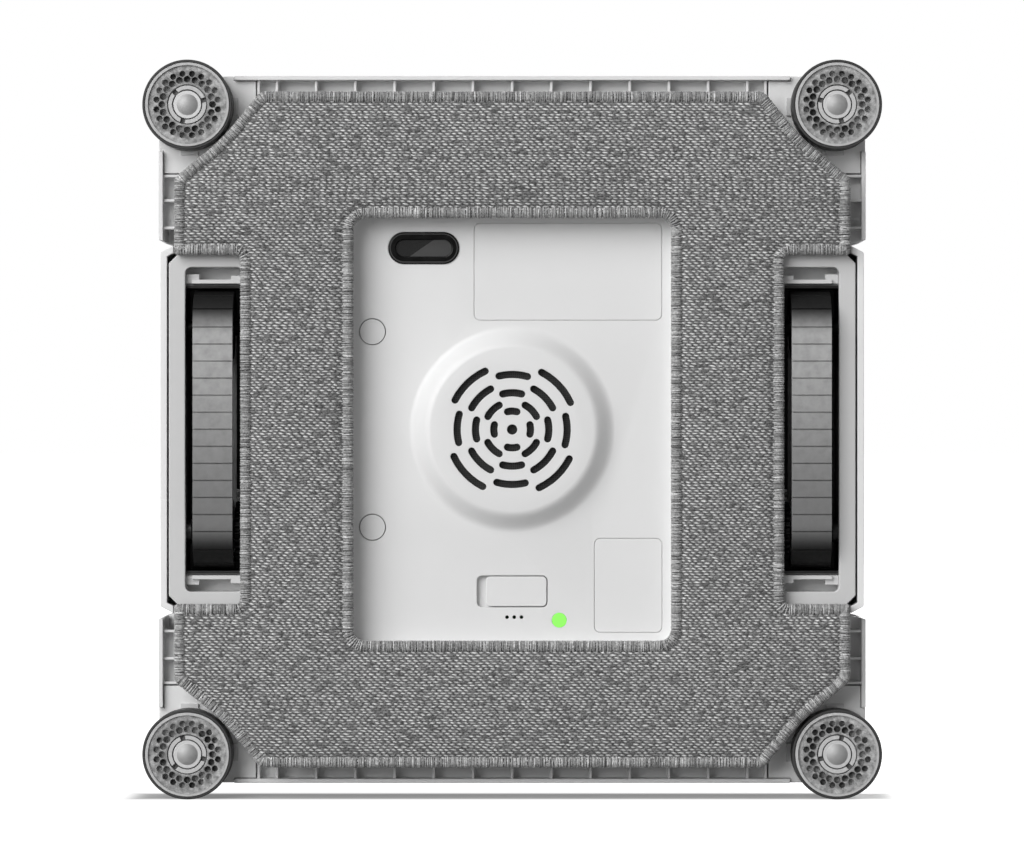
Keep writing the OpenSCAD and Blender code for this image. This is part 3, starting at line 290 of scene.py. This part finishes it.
def painted_pit_shade(look, radius):
    """Painted shade as soft dark pits over the two rings of dimples: 1 in a pit, 0 on the face."""
    x, z = roller_place(look)
    share = look.calc("MULTIPLY", look.calc("ARCTAN2", z, x), PITS_IN_RING / (2 * math.pi))
    found = None
    for ring, shift, size in PIT_RINGS:
        turn = look.calc("SUBTRACT", look.calc("FRACT", look.calc("ADD", share, PITS_IN_RING + shift)), 0.5)
        aside = look.calc("MULTIPLY", turn, ring * 2 * math.pi / PITS_IN_RING)
        away = look.length(aside, look.calc("SUBTRACT", radius, ring))
        away = look.calc("MULTIPLY_ADD", look.noise(1.3 * MM, 2), 0.7 * MM, away)
        pit = look.spread(away, size - 0.15 * MM, size + 0.75 * MM, 1.0, 0.0)
        found = pit if found is None else look.calc("MAXIMUM", found, pit)
    return found


def mottled_roller():
    """The roller's porous face, with its pale claws and lip (the lip partly a painted highlight), and painted
    shade: soft dark pits over the dimples and black on the floors of the pits and claw gaps.
    """
    look = Look("mottled_roller", Specular_IOR_Level=0.35)
    blotch = look.noise(1.7 * MM, 5, rough=0.62)
    fine = look.noise(0.45 * MM, 4)
    shade = look.ramp(blotch, [(0.3, grey(108)), (0.48, grey(153)), (0.62, grey(185)), (0.8, grey(206))])
    shade = look.mix(look.spread(fine, 0.35, 0.7, 0.0, 0.35), shade, grey(92))
    radius = roller_radius(look)
    # Painted shade: the face darkens over and around the dimples.
    shade = look.mix(look.calc("MULTIPLY", painted_pit_shade(look, radius), 0.42), shade, grey(44))
    cloud = look.noise(1.1 * MM, 4)
    pale = look.mix(cloud, grey(168), grey(204))
    # The claws and lip are painted pale. The lip's paleness is partly its own tone and partly a painted
    # highlight on its rounded rim.
    rings = look.calc("ADD", between(look, radius, CLAWS_INNER, CLAWS_OUTER),
                      look.spread(radius, LIP_START, LIP_END, 0.0, 0.85))
    shade = look.mix(rings, shade, pale)
    # Painted shade on the floors of the pits and claw gaps: black in the claw gaps, and dark in the dimples
    # with random pale patches that stand for light reaching in.
    deep = look.spread(look.calc("SUBTRACT", look.axes()["Y"], FACE_Y), 0.85 * MM, 1.5 * MM)
    inside = look.spread(radius, FACE_EDGE_START, FACE_EDGE_END, 0.7, 0.0)
    uneven = look.calc("MULTIPLY", look.spread(look.noise(7 * MM, 2), 0.42, 0.62),
                       look.spread(radius, CLAWS_OUTER, PITS_START))
    floor = look.mix(uneven, grey(26), grey(190))
    shade = look.mix(look.calc("MULTIPLY", deep, inside), shade, floor)
    height = look.calc("MULTIPLY_ADD", fine, 0.35, blotch)
    height = look.calc("MULTIPLY", height, look.spread(rings, 0.0, 1.0, 1.0, 0.15))
    normal = look.bump(height, 0.2 * MM, look.soften(0.3 * MM))
    return look.finish(shade, 0.6, normal)


def axle_metal():
    """Satin metal: a mid grey domed head inside a paler washer."""
    look = Look("pin_metal", Metallic=0.4)
    streak = look.noise(0.9 * MM, 4)
    head = look.mix(streak, grey(158), grey(170))
    washer = look.mix(streak, grey(196), grey(210))
    shade = look.mix(look.spread(roller_radius(look), PIN_HEAD_R, WASHER_R), head, washer)
    gloss = look.spread(streak, 0.3, 0.7, 0.52, 0.62)
    return look.finish(shade, gloss, look.bump(streak, 0.004 * MM, look.soften(0.2 * MM)))


def metal(name, level, roughness, stretch=(1, 1, 12)):
    """Brushed metal, its streaks drawn out across the axes that stretch names."""
    look = Look(name, Metallic=1.0)
    place = look.add("ShaderNodeMapping", {"Vector": look.place, "Scale": stretch}).outputs[0]
    streak = look.noise(1.2 * MM, 5, place)
    shade = look.mix(streak, grey(level * 0.94), grey(min(255, level * 1.04)))
    gloss = look.spread(streak, 0.3, 0.7, roughness - 0.05, roughness + 0.1)
    return look.finish(shade, gloss, look.bump(streak, 0.004 * MM, look.soften(0.2 * MM)))


def bezel_black():
    """Glossy black plastic with a thin grey line just inside its oval rim, a painted highlight."""
    look = Look("gloss_black_plastic", Specular_IOR_Level=0.35)
    low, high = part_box("sensor_bezel")
    centre, radius = (low + high) / 2, (high.z - low.z) / 2
    axes = look.axes()
    along = look.calc("ABSOLUTE", look.calc("SUBTRACT", axes["X"], centre.x))
    along = look.calc("MAXIMUM", look.calc("SUBTRACT", along, high.x - centre.x - radius), 0.0)
    up = look.calc("SUBTRACT", axes["Z"], centre.z)
    out = look.length(along, up)
    smudge = look.noise(4 * MM, 3)
    # Painted highlight: a thin grey line just inside the rim.
    rim = between(look, out, radius - 0.85 * MM, radius - 0.5 * MM)
    shade = look.mix(rim, look.mix(smudge, grey(3), grey(5)), grey(70))
    gloss = look.spread(smudge, 0.3, 0.75, 0.2, 0.28)
    return look.finish(shade, gloss, look.soften(0.3 * MM))


def plug_plastic():
    """White plastic with a dark line around each round plug, a painted shadow of the gap at its edge."""
    look = Look("plug_plastic")
    low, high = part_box("screw_plugs")
    centre, radius = (low + high) / 2, (high.x - low.x) / 2
    axes = look.axes()
    aside = look.calc("SUBTRACT", axes["X"], centre.x)
    up = look.calc("ABSOLUTE", look.calc("SUBTRACT", axes["Z"], centre.z))
    up = look.calc("SUBTRACT", up, high.z - centre.z - radius)
    out = look.length(aside, up)
    cloud = look.noise(14 * MM, 4)
    # Painted shadow: a dark line in the gap around each plug.
    line = look.spread(out, radius - 0.24 * MM, radius - 0.12 * MM)
    shade = look.mix(line, look.mix(cloud, grey(218), grey(221)), grey(96))
    return look.finish(shade, 0.42, look.bump(look.noise(0.12 * MM, 2), 0.006 * MM))


def smoked_lens():
    """A smoked window whose two halves have two tones: the lighter half is a painted reflection."""
    look = Look("smoked_lens", Coat_Weight=0.6, Coat_Roughness=0.04)
    low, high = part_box("sensor_lens")
    middle = (low + high) / 2
    axes = look.axes()
    lean = look.calc("MULTIPLY_ADD", look.calc("SUBTRACT", axes["Z"], middle.z), -1.45, axes["X"])
    # Painted reflection: the lighter half of the smoked window.
    half = look.spread(lean, middle.x - 0.8 * MM, middle.x - 0.55 * MM)
    depth = look.noise(9 * MM, 2)
    shade = look.mix(half, look.mix(depth, grey(34), grey(42)), look.mix(depth, grey(70), grey(80)))
    return look.finish(shade, 0.16, look.soften(0.2 * MM))


def lit_diffuser(name, core, rim, strength):
    """A lit diffuser whose glow varies in soft patches between its core and rim tones."""
    look = Look(name, Emission_Strength=strength, Coat_Weight=0.3)
    cloud = look.noise(3 * MM, 3)
    shade = look.mix(cloud, core, rim)
    look.set(look.shader, "Emission Color", shade)
    return look.finish(look.mix(cloud, rim, core), 0.4)


def tread_rubber():
    """Ribbed tread rubber with dusty tones, and painted shade that darkens it towards the bottom and where it
    turns into the well.
    """
    look = Look("tread_rubber", Specular_IOR_Level=0.35)
    low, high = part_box("belt_left")
    middle, half = (low.z + high.z) / 2, (high.z - low.z) / 2
    level = look.calc("DIVIDE", look.calc("SUBTRACT", look.axes()["Z"], middle), half)
    dusty = look.ramp(look.noise(3 * MM, 5), [(0.3, grey(150)), (0.5, grey(163)), (0.7, grey(172))])
    # Painted shade: darker towards the bottom.
    painted_shade_below = look.spread(level, 0.8, -0.75, 0.0, 0.85)
    shade = look.mix(painted_shade_below, dusty, grey(96))
    # Painted shade where the belt turns into the well.
    turn = look.spread(look.calc("ABSOLUTE", level), 0.66, 0.88)
    shade = look.mix(turn, shade, grey(10))
    gloss = look.spread(look.noise(2 * MM, 3), 0.3, 0.7, 0.55, 0.7)
    return look.finish(shade, gloss, look.bump(look.noise(0.2 * MM, 3), 0.012 * MM, look.soften(0.15 * MM)))


def well_plastic():
    """Black inside the tread's well, and pale in the pockets at its two ends."""
    look = Look("well_plastic")
    low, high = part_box("track_wells")
    middle = (low.z + high.z) / 2
    away = look.calc("ABSOLUTE", look.calc("SUBTRACT", look.axes()["Z"], middle))
    cloud = look.noise(3 * MM, 4)
    dark = look.mix(cloud, grey(9), grey(20))
    pale = look.mix(cloud, grey(206), grey(218))
    shade = look.mix(look.spread(away, 47.9 * MM, 48.5 * MM), dark, pale)
    gloss = look.spread(cloud, 0.3, 0.7, 0.3, 0.42)
    return look.finish(shade, gloss, look.bump(look.noise(0.2 * MM, 2), 0.006 * MM, look.soften(0.4 * MM)))


def mesh_filter():
    """A square mesh of fine wire over darkness."""
    look = Look("mesh_filter")
    pitch = 0.7 * MM
    axes = look.axes()
    bars = []
    for axis in (axes["X"], axes["Z"]):
        across = look.calc("FRACT", look.calc("DIVIDE", axis, pitch))
        bars.append(look.calc("ABSOLUTE", look.calc("SUBTRACT", across, 0.5)))
    wire = look.spread(look.calc("MAXIMUM", *bars), 0.34, 0.42)
    shade = look.mix(wire, grey(6), grey(36))
    return look.finish(shade, 0.6, look.bump(wire, 0.2 * MM))


def printed_board():
    """Solder mask with raised tracks that break off here and there."""
    look = Look("printed_board", Coat_Weight=0.3)
    axes = look.axes()
    lane = look.calc("DIVIDE", axes["X"], 2.4 * MM)
    lanes = look.calc("FRACT", lane)
    breaks = look.chance(look.join(look.calc("FLOOR", lane),
                                   look.calc("FLOOR", look.calc("DIVIDE", axes["Z"], 7 * MM))))
    track = look.calc("MULTIPLY", look.spread(lanes, 0.7, 0.75), look.spread(breaks, 0.45, 0.5))
    shade = look.mix(track, (0.012, 0.09, 0.04), (0.03, 0.2, 0.09))
    return look.finish(shade, 0.35, look.bump(track, 0.03 * MM))


def shrink_wrap():
    """The cells' blue wrap, a little wrinkled."""
    look = Look("shrink_wrap", Coat_Weight=0.3)
    wrinkle = look.noise(3 * MM, 4)
    shade = look.mix(wrinkle, (0.02, 0.09, 0.3), (0.03, 0.13, 0.4))
    return look.finish(shade, 0.35, look.bump(wrinkle, 0.08 * MM))


LOOKS = {
    "pad_cloth": heather_weave(),
    "hook_sheet": backing_cloth(),
    "light_grey_plastic": moulded("light_grey_plastic", grey(222), 0.45),
    "white_plastic": moulded("white_plastic", grey(221), 0.42),
    "gloss_white_plastic": moulded("gloss_white_plastic", grey(228), 0.3, edge=0.5 * MM, grain=0.6 * MM,
                                   depth=0.001 * MM, wear=0.008, Coat_Weight=0.2, Coat_Roughness=0.12),
    "black_plastic": moulded("black_plastic", grey(34), 0.5),
    "gloss_black_plastic": bezel_black(),
    "smoked_lens": smoked_lens(),
    "green_lamp": lit_diffuser("green_lamp", (0.17, 0.55, 0.08), (0.14, 0.5, 0.06), 1.0),
    "filter_mesh": mesh_filter(),
    "dark_grey_plastic": moulded("dark_grey_plastic", grey(40), 0.6),
    "belt_rubber": tread_rubber(),
    "tyre_rubber": rubber("tyre_rubber", 54, 0.55, wear=0.1),
    "roller_plastic": mottled_roller(),
    "pin_metal": axle_metal(),
    "motor_can": metal("motor_can", 176, 0.38, stretch=(1, 12, 12)),
    "gear_brass": metal("gear_brass", 190, 0.3),
    "cell_wrap": shrink_wrap(),
    "board": printed_board(),
    "spring_steel": metal("spring_steel", 190, 0.25),
    "grip_rubber": rubber("grip_rubber", 74, 0.7),
    "light_ring": lit_diffuser("light_ring", (0.3, 0.62, 0.9), (0.22, 0.5, 0.82), 0.5),
}


# Nodes whose look isn't their slot's

DARK_STEEL = metal("dark_steel", 34, 0.5)
OWN_LOOKS = {
    "track_frames": moulded("frame_plastic", grey(198), 0.42),
    "track_wells": well_plastic(),
    "screw_plugs": plug_plastic(),
    "belt_scrapers": moulded("scraper_plastic", grey(206), 0.45),
    "idler_axles": DARK_STEEL,
    "drive_axle_left": DARK_STEEL,
    "drive_axle_right": DARK_STEEL,
    "idler_pulley_left": LOOKS["dark_grey_plastic"],
    "idler_pulley_right": LOOKS["dark_grey_plastic"],
}


# Finished copies of the CAD solids

WELD_DISTANCE = 0.002 * MM
FLAT_ANGLE, SHARP_ANGLE, BEVEL_ANGLE = math.radians(0.4), math.radians(28), math.radians(30)

# The width to which each visible node's edges are rounded, in mm
EDGE_WIDTHS = {
    "belly_panel": 0.25, "sensor_bezel": 0.35, "sensor_lens": 0.1, "screw_plugs": 0.1, "label_plates": 0.08,
    "status_lamp": 0.2, "power_slider": 0.25, "track_frames": 0.35, "belt_scrapers": 0.2, "bumper_upper": 0.2,
    "bumper_lower": 0.2, "corner_carriers_upper": 0.3, "corner_carriers_lower": 0.3, "axle_pins_upper": 0.2,
    "axle_pins_lower": 0.2, "top_shell": 0.35, "handle": 1.6, "handle_grip": 0.4, "indicator_ring": 0.2,
    "start_button": 0.4, "charging_inlet": 0.3, "tether_ring": 0.0, "belt_left": 0.1, "belt_right": 0.1,
}
for corner in ("upper_left", "upper_right", "lower_left", "lower_right"):
    EDGE_WIDTHS["roller_hub_" + corner] = 0.15
    EDGE_WIDTHS["roller_tyre_" + corner] = 0.35


def slot_of(node):
    return next(s["material_slot"] for s in record["subparts"] if s["node"] == node)


def look_of(node):
    return OWN_LOOKS.get(node) or LOOKS[slot_of(node)]


def body_holding(node):
    return next(body for body, nodes in record["behaviour"]["bodies"].items() if node in nodes)


def welded(node):
    """The node's triangles joined up, with its flat faces whole and its curved ones smooth."""
    mesh = bmesh.new()
    mesh.from_mesh(frame["nodes"][node].data)
    bmesh.ops.remove_doubles(mesh, verts=mesh.verts, dist=WELD_DISTANCE)
    bmesh.ops.dissolve_limit(mesh, angle_limit=FLAT_ANGLE, verts=mesh.verts, edges=mesh.edges)
    for face in mesh.faces:
        face.smooth = True
    for edge in mesh.edges:
        edge.smooth = len(edge.link_faces) == 2 and edge.calc_face_angle(0) < SHARP_ANGLE
    return mesh


def add_to_scene(name, data):
    """A new object of that mesh, light or camera."""
    thing = bpy.data.objects.new(name, data)
    bpy.context.scene.collection.objects.link(thing)
    return thing


def piece_from(mesh, name, look):
    """A new object of that bmesh and material."""
    data = bpy.data.meshes.new(name)
    mesh.to_mesh(data)
    mesh.free()
    data.materials.append(look)
    return add_to_scene(name, data)


def finish_node(node, edge):
    """A copy of the node, its edges rounded to that width, which stands for it."""
    piece = piece_from(welded(node), node + "_finish", look_of(node))
    if edge:
        bevel = piece.modifiers.new("rounded_edges", "BEVEL")
        bevel.width = edge
        bevel.segments = 3 if edge > 1 * MM else 2
        bevel.limit_method = "ANGLE"
        bevel.angle_limit = BEVEL_ANGLE
        bevel.use_clamp_overlap = True
        bevel.harden_normals = True
    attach(piece, body_holding(node))
    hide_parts(node)


def dress_solids():
    """Gives every CAD solid its look and smooth shading."""
    for node, solid in frame["nodes"].items():
        solid.data.materials.clear()
        solid.data.materials.append(look_of(node))
        for face in solid.data.polygons:
            face.use_smooth = True


# The cleaning pad: its outline, its woven face and its overlocked edge

PAD_HALF = 112.2 * MM
NOTCH_X, NOTCH_Z = 90.3 * MM, 57.7 * MM
PAD_CORNER, PAD_DIP = 83.5 * MM, 96.4 * MM
WINDOW_X, WINDOW_Z = 52.5 * MM, 69.9 * MM
ARC_POINTS = 9
OUTLINE_STEP = 2.2 * MM

# How far in from the edge, and how far behind the glass plane, each ring of the pad's skin lies
EDGE_RINGS = [(1.4, 5.0), (0.55, 4.7), (0.3, 3.9), (0.3, 2.6), (0.45, 1.75), (0.8, 1.1), (1.35, 0.68),
              (2.0, 0.52), (2.75, 0.7), (3.35, 1.1), (3.8, 1.2), (4.4, 0.8), (5.2, 0.42), (6.6, 0.2)]


def pad_outline():
    quarter = [(NOTCH_X, NOTCH_Z, 1.5), (PAD_HALF, NOTCH_Z, 1.5), (PAD_HALF, PAD_CORNER, 4),
               (PAD_DIP, PAD_DIP, 60), (PAD_CORNER, PAD_HALF, 4)]
    corners = quarter + [(-x, z, r) for x, z, r in reversed(quarter)]
    corners += [(-x, -z, r) for x, z, r in quarter] + [(x, -z, r) for x, z, r in reversed(quarter)]
    return [(Vector((x, z)), r * MM) for x, z, r in corners]


def window_outline():
    """Clockwise, so the cloth lies on its left as it does on the outer outline's."""
    corners = [(WINDOW_X, WINDOW_Z), (WINDOW_X, -WINDOW_Z), (-WINDOW_X, -WINDOW_Z), (-WINDOW_X, WINDOW_Z)]
    return [(Vector(corner), 3.7 * MM) for corner in corners]


def inset_loop(outline, inset):
    """Points and directions inwards along the outline, moved in by inset. Every inset has as many points."""
    count = len(outline)
    corners = []
    for i, (corner, radius) in enumerate(outline):
        before = (corner - outline[i - 1][0]).normalized()
        after = (outline[(i + 1) % count][0] - corner).normalized()
        left_before, left_after = Vector((-before.y, before.x)), Vector((-after.y, after.x))
        moved = corner + inset * (left_before + left_after) / (1 + left_before.dot(left_after))
        turn = math.atan2(before.cross(after), before.dot(after))
        bent = max(0.1 * MM, radius - inset * math.copysign(1, turn))
        corners.append((moved, before, left_before, turn, bent))
    points, inwards = [], []
    for i, (moved, before, left_before, turn, bent) in enumerate(corners):
        tangent = bent * math.tan(abs(turn) / 2)
        side = math.copysign(1, turn)
        centre = moved - before * tangent + left_before * bent * side
        for k in range(ARC_POINTS):
            angle = turn * k / (ARC_POINTS - 1)
            spoke = left_before * math.cos(angle) - before * math.sin(angle)
            points.append(centre - spoke * bent * side)
            inwards.append(spoke)
        following = corners[(i + 1) % count]
        start = points[-1]
        end = following[0] - following[1] * following[4] * math.tan(abs(following[3]) / 2)
        whole = (outline[(i + 1) % count][0] - outline[i][0]).length
        steps = max(1, round(whole / OUTLINE_STEP))
        for k in range(1, steps):
            points.append(start.lerp(end, k / steps))
            inwards.append(following[2])
    return points, inwards


def at_depth(point, depth):
    """A point of an outline, at a depth in metres behind the glass plane."""
    return Vector((point.x, GLASS_Y + depth, MIDDLE_Z + point.y))


def pad_skin():
    """The pad's closed skin: rings along both outlines, and a flat front and back between them."""
    mesh = bmesh.new()
    fronts, backs = [], []
    for outline in (pad_outline(), window_outline()):
        rings = []
        for inset, depth in EDGE_RINGS:
            points, _ = inset_loop(outline, inset * MM)
            rings.append([mesh.verts.new(at_depth(p, depth * MM)) for p in points])
        for ring, following in zip(rings, rings[1:]):
            for k in range(len(ring)):
                corner = (k + 1) % len(ring)
                mesh.faces.new((ring[k], following[k], following[corner], ring[corner]))
        for ring, edges in ((rings[0], backs), (rings[-1], fronts)):
            edges += [mesh.edges.get((ring[k - 1], ring[k])) for k in range(len(ring))]
    for edges in (fronts, backs):
        bmesh.ops.triangle_fill(mesh, edges=edges, use_beauty=True)
    bmesh.ops.recalc_face_normals(mesh, faces=mesh.faces)
    for face in mesh.faces:
        face.smooth = True
    return mesh


STITCH_PITCH = 0.52 * MM
STITCH_SIDES = 5
STITCH_BITE = 3.5 * MM
LIFTED_DEPTH = 2 * MM
# One stitch from its needle hole over the edge to the back: distance in from the edge, and depth, in mm
STITCH_PATH = [(3.6, 1.5), (3.3, 0.9), (2.75, 0.48), (2.0, 0.3), (1.3, 0.46), (0.7, 0.95),
               (0.36, 1.65), (0.28, 2.6), (0.45, 4.2)]


def stitches_along(outline, rng):
    """Vertices, faces and tones of the stitches over an outline."""
    points, inwards = inset_loop(outline, 0.0)
    points = np.array([tuple(p) for p in points])
    inwards = np.array([tuple(p) for p in inwards])
    closed = np.vstack([points, points[:1]])
    gone = np.concatenate([[0], np.cumsum(np.linalg.norm(np.diff(closed, axis=0), axis=1))])
    count = int(gone[-1] / STITCH_PITCH)
    along = (np.arange(count) + rng.uniform(-0.25, 0.25, count)) * gone[-1] / count % gone[-1]
    feet = np.column_stack([np.interp(along, gone, closed[:, k]) for k in (0, 1)])
    normals = np.vstack([inwards, inwards[:1]])
    inward = np.column_stack([np.interp(along, gone, normals[:, k]) for k in (0, 1)])
    inward /= np.linalg.norm(inward, axis=1)[:, None]
    tangent = np.column_stack([inward[:, 1], -inward[:, 0]])

    path = np.array(STITCH_PATH) * MM
    steps = np.gradient(path, axis=0)
    steps /= np.linalg.norm(steps, axis=1)[:, None]
    across = np.column_stack([-steps[:, 1], steps[:, 0]])
    reach = 1 + rng.uniform(-0.09, 0.07, count)
    lean = rng.uniform(-0.22, 0.22, count) * MM
    lift = rng.uniform(-0.05, 0.08, count) * MM
    radius = rng.uniform(0.2, 0.3, count) * MM
    vertices = []
    for k, (inset, depth) in enumerate(path):
        for side in range(STITCH_SIDES):
            angle = 2 * math.pi * side / STITCH_SIDES
            out = radius * math.sin(angle)
            inset_k = inset * reach + out * across[k, 0]
            sideways = lean * inset / STITCH_BITE + radius * math.cos(angle)
            flat = feet + inward * inset_k[:, None] + tangent * sideways[:, None]
            deep = depth - lift * (depth < LIFTED_DEPTH) + out * across[k, 1]
            ring = [flat[:, 0], GLASS_Y + np.maximum(deep, 0), MIDDLE_Z + flat[:, 1]]
            vertices.append(np.column_stack(ring))
    vertices = np.stack(vertices, axis=1)
    per_stitch = vertices.shape[1]
    one = [[k * STITCH_SIDES + s, k * STITCH_SIDES + (s + 1) % STITCH_SIDES,
            (k + 1) * STITCH_SIDES + (s + 1) % STITCH_SIDES, (k + 1) * STITCH_SIDES + s]
           for k in range(len(path) - 1) for s in range(STITCH_SIDES)]
    faces = (np.array(one)[None] + (np.arange(count) * per_stitch)[:, None, None]).reshape(-1, 4)
    tones = np.repeat(np.clip(rng.normal(0.55, 0.18, count), 0, 1), per_stitch)
    return vertices.reshape(-1, 3), faces, tones


def overlock_edging():
    """Both overlocked edges as one mesh of separate stitches."""
    rng = np.random.default_rng(7)
    parts = [stitches_along(outline, rng) for outline in (pad_outline(), window_outline())]
    first = len(parts[0][0])
    vertices = np.vstack([p[0] for p in parts])
    faces = np.vstack([parts[0][1], parts[1][1] + first])
    data = bpy.data.meshes.new("overlock_edging")
    data.from_pydata(vertices.tolist(), [], faces.tolist())
    tone = data.attributes.new("tone", "FLOAT", "POINT")
    tone.data.foreach_set("value", np.concatenate([p[2] for p in parts]).astype(np.float32))
    data.polygons.foreach_set("use_smooth", np.ones(len(faces), bool))
    data.materials.append(edging_thread())
    return add_to_scene("overlock_edging", data)


def make_pad():
    """The woven pad and its edging, which ride on the pad's body."""
    cloth = piece_from(pad_skin(), "woven_pad", LOOKS["pad_cloth"])
    edging = overlock_edging()
    for piece in (cloth, edging):
        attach(piece, "pad")
    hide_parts("pad")


# Floor, light and camera

VIEW_DISTANCE = 1.4
SENSOR = 36.0
PHOTO_WIDTH = 1024
ROBOT_PIXELS = 740.2
METRES_PER_PIXEL = (cad_box[1][2] - cad_box[0][2]) / ROBOT_PIXELS
CAMERA_SHIFT = (-0.2 * METRES_PER_PIXEL, -0.5 * METRES_PER_PIXEL)

# How far behind the rollers' faces the contact shadow's middle lies, and how far it fades to each side
SHADOW_MIDDLE, SHADOW_DEPTH = 13 * MM, 18 * MM
FLOOR_HALF = 20.0
FLOOR_DROP = 0.02 * MM

# Each light's place and size in metres, and its power in watts
LIGHTS = {
    "key": ((-2.35, -3.05, 2.05), 4.2, 232),
    "fill": ((1.2, -1.7, 0.4), 1.6, 3),
    "back": ((1.0, 2.0, 1.0), 1.8, 44),
}


def seen_or_lighting(tree, seen, lighting, socket):
    """Drives a strength socket: one value where the camera sees the emitter, one where it lights the set."""
    path = tree.nodes.new("ShaderNodeLightPath")
    strength = tree.nodes.new("ShaderNodeMapRange")
    strength.inputs["To Min"].default_value = lighting
    if isinstance(seen, bpy.types.NodeSocket):
        tree.links.new(seen, strength.inputs["To Max"])
    else:
        strength.inputs["To Max"].default_value = seen
    tree.links.new(path.outputs["Is Camera Ray"], strength.inputs["Value"])
    tree.links.new(strength.outputs["Result"], socket)


def make_floor():
    """A white floor that glows for the camera, but for a strip of contact shadow under the robot's front."""
    look = Look("studio_floor")
    cloud = look.noise(0.6, 3)
    look.set(look.shader, "Emission Color", look.mix(cloud, grey(252), grey(255)))
    axes = look.axes()
    away = look.calc("ABSOLUTE", look.calc("SUBTRACT", axes["Y"], FACE_Y + SHADOW_MIDDLE))
    aside = look.calc("SUBTRACT", look.calc("ABSOLUTE", axes["X"]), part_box("bumper_lower")[1].x)
    clear = look.calc("MAXIMUM", look.spread(away, 0.25 * SHADOW_DEPTH, SHADOW_DEPTH),
                      look.spread(aside, 0, SHADOW_DEPTH))
    glow = look.spread(clear, 0.0, 1.0, 0.2, 1.0)
    seen_or_lighting(look.tree, glow, 0.03, look.shader.inputs["Emission Strength"])
    look.finish(look.mix(cloud, grey(136), grey(144)), 0.6, look.bump(look.noise(2 * MM, 2), 0.004 * MM))
    mesh = bmesh.new()
    corners = [(-FLOOR_HALF, -FLOOR_HALF), (FLOOR_HALF, -FLOOR_HALF), (FLOOR_HALF, FLOOR_HALF),
               (-FLOOR_HALF, FLOOR_HALF)]
    mesh.faces.new([mesh.verts.new((x, y, -FLOOR_DROP)) for x, y in corners])
    piece_from(mesh, "studio_floor", look.material)


def area_light(name, place, aim, size, power):
    """A round area light at place, turned to aim."""
    data = bpy.data.lights.new(name, "AREA")
    data.shape = "DISK"
    data.size = size
    data.energy = power
    light = add_to_scene(name, data)
    light.location = place
    light.rotation_euler = (Vector(aim) - Vector(place)).to_track_quat("-Z", "Y").to_euler()


def make_world():
    """A white studio that is seen brighter than it lights."""
    world = bpy.data.worlds.new("studio")
    world.use_nodes = True
    sky = world.node_tree.nodes["Background"]
    sky.inputs["Color"].default_value = (1, 1, 1, 1)
    seen_or_lighting(world.node_tree, 1.0, 0.125, sky.inputs["Strength"])
    bpy.context.scene.world = world


def make_light():
    """The studio's glow and its lamps, and the view transform that keeps white white."""
    make_world()
    for name, (place, size, power) in LIGHTS.items():
        area_light(name, place, (0, GLASS_Y, MIDDLE_Z), size, power)
    bpy.context.scene.view_settings.view_transform = "Standard"


def make_camera():
    """The photo's straight view of the glass side."""
    data = bpy.data.cameras.new("photo_camera")
    data.sensor_width = SENSOR
    data.lens = SENSOR * VIEW_DISTANCE / (PHOTO_WIDTH * METRES_PER_PIXEL)
    data.clip_start = 0.05
    data.clip_end = 60
    camera = add_to_scene("photo_camera", data)
    camera.location = (CAMERA_SHIFT[0], FACE_Y - VIEW_DISTANCE, MIDDLE_Z + CAMERA_SHIFT[1])
    camera.rotation_euler = (math.radians(90), 0, 0)
    bpy.context.scene.camera = camera


dress_solids()
make_pad()
for node, edge in EDGE_WIDTHS.items():
    finish_node(node, edge * MM)
make_floor()
make_light()
make_camera()
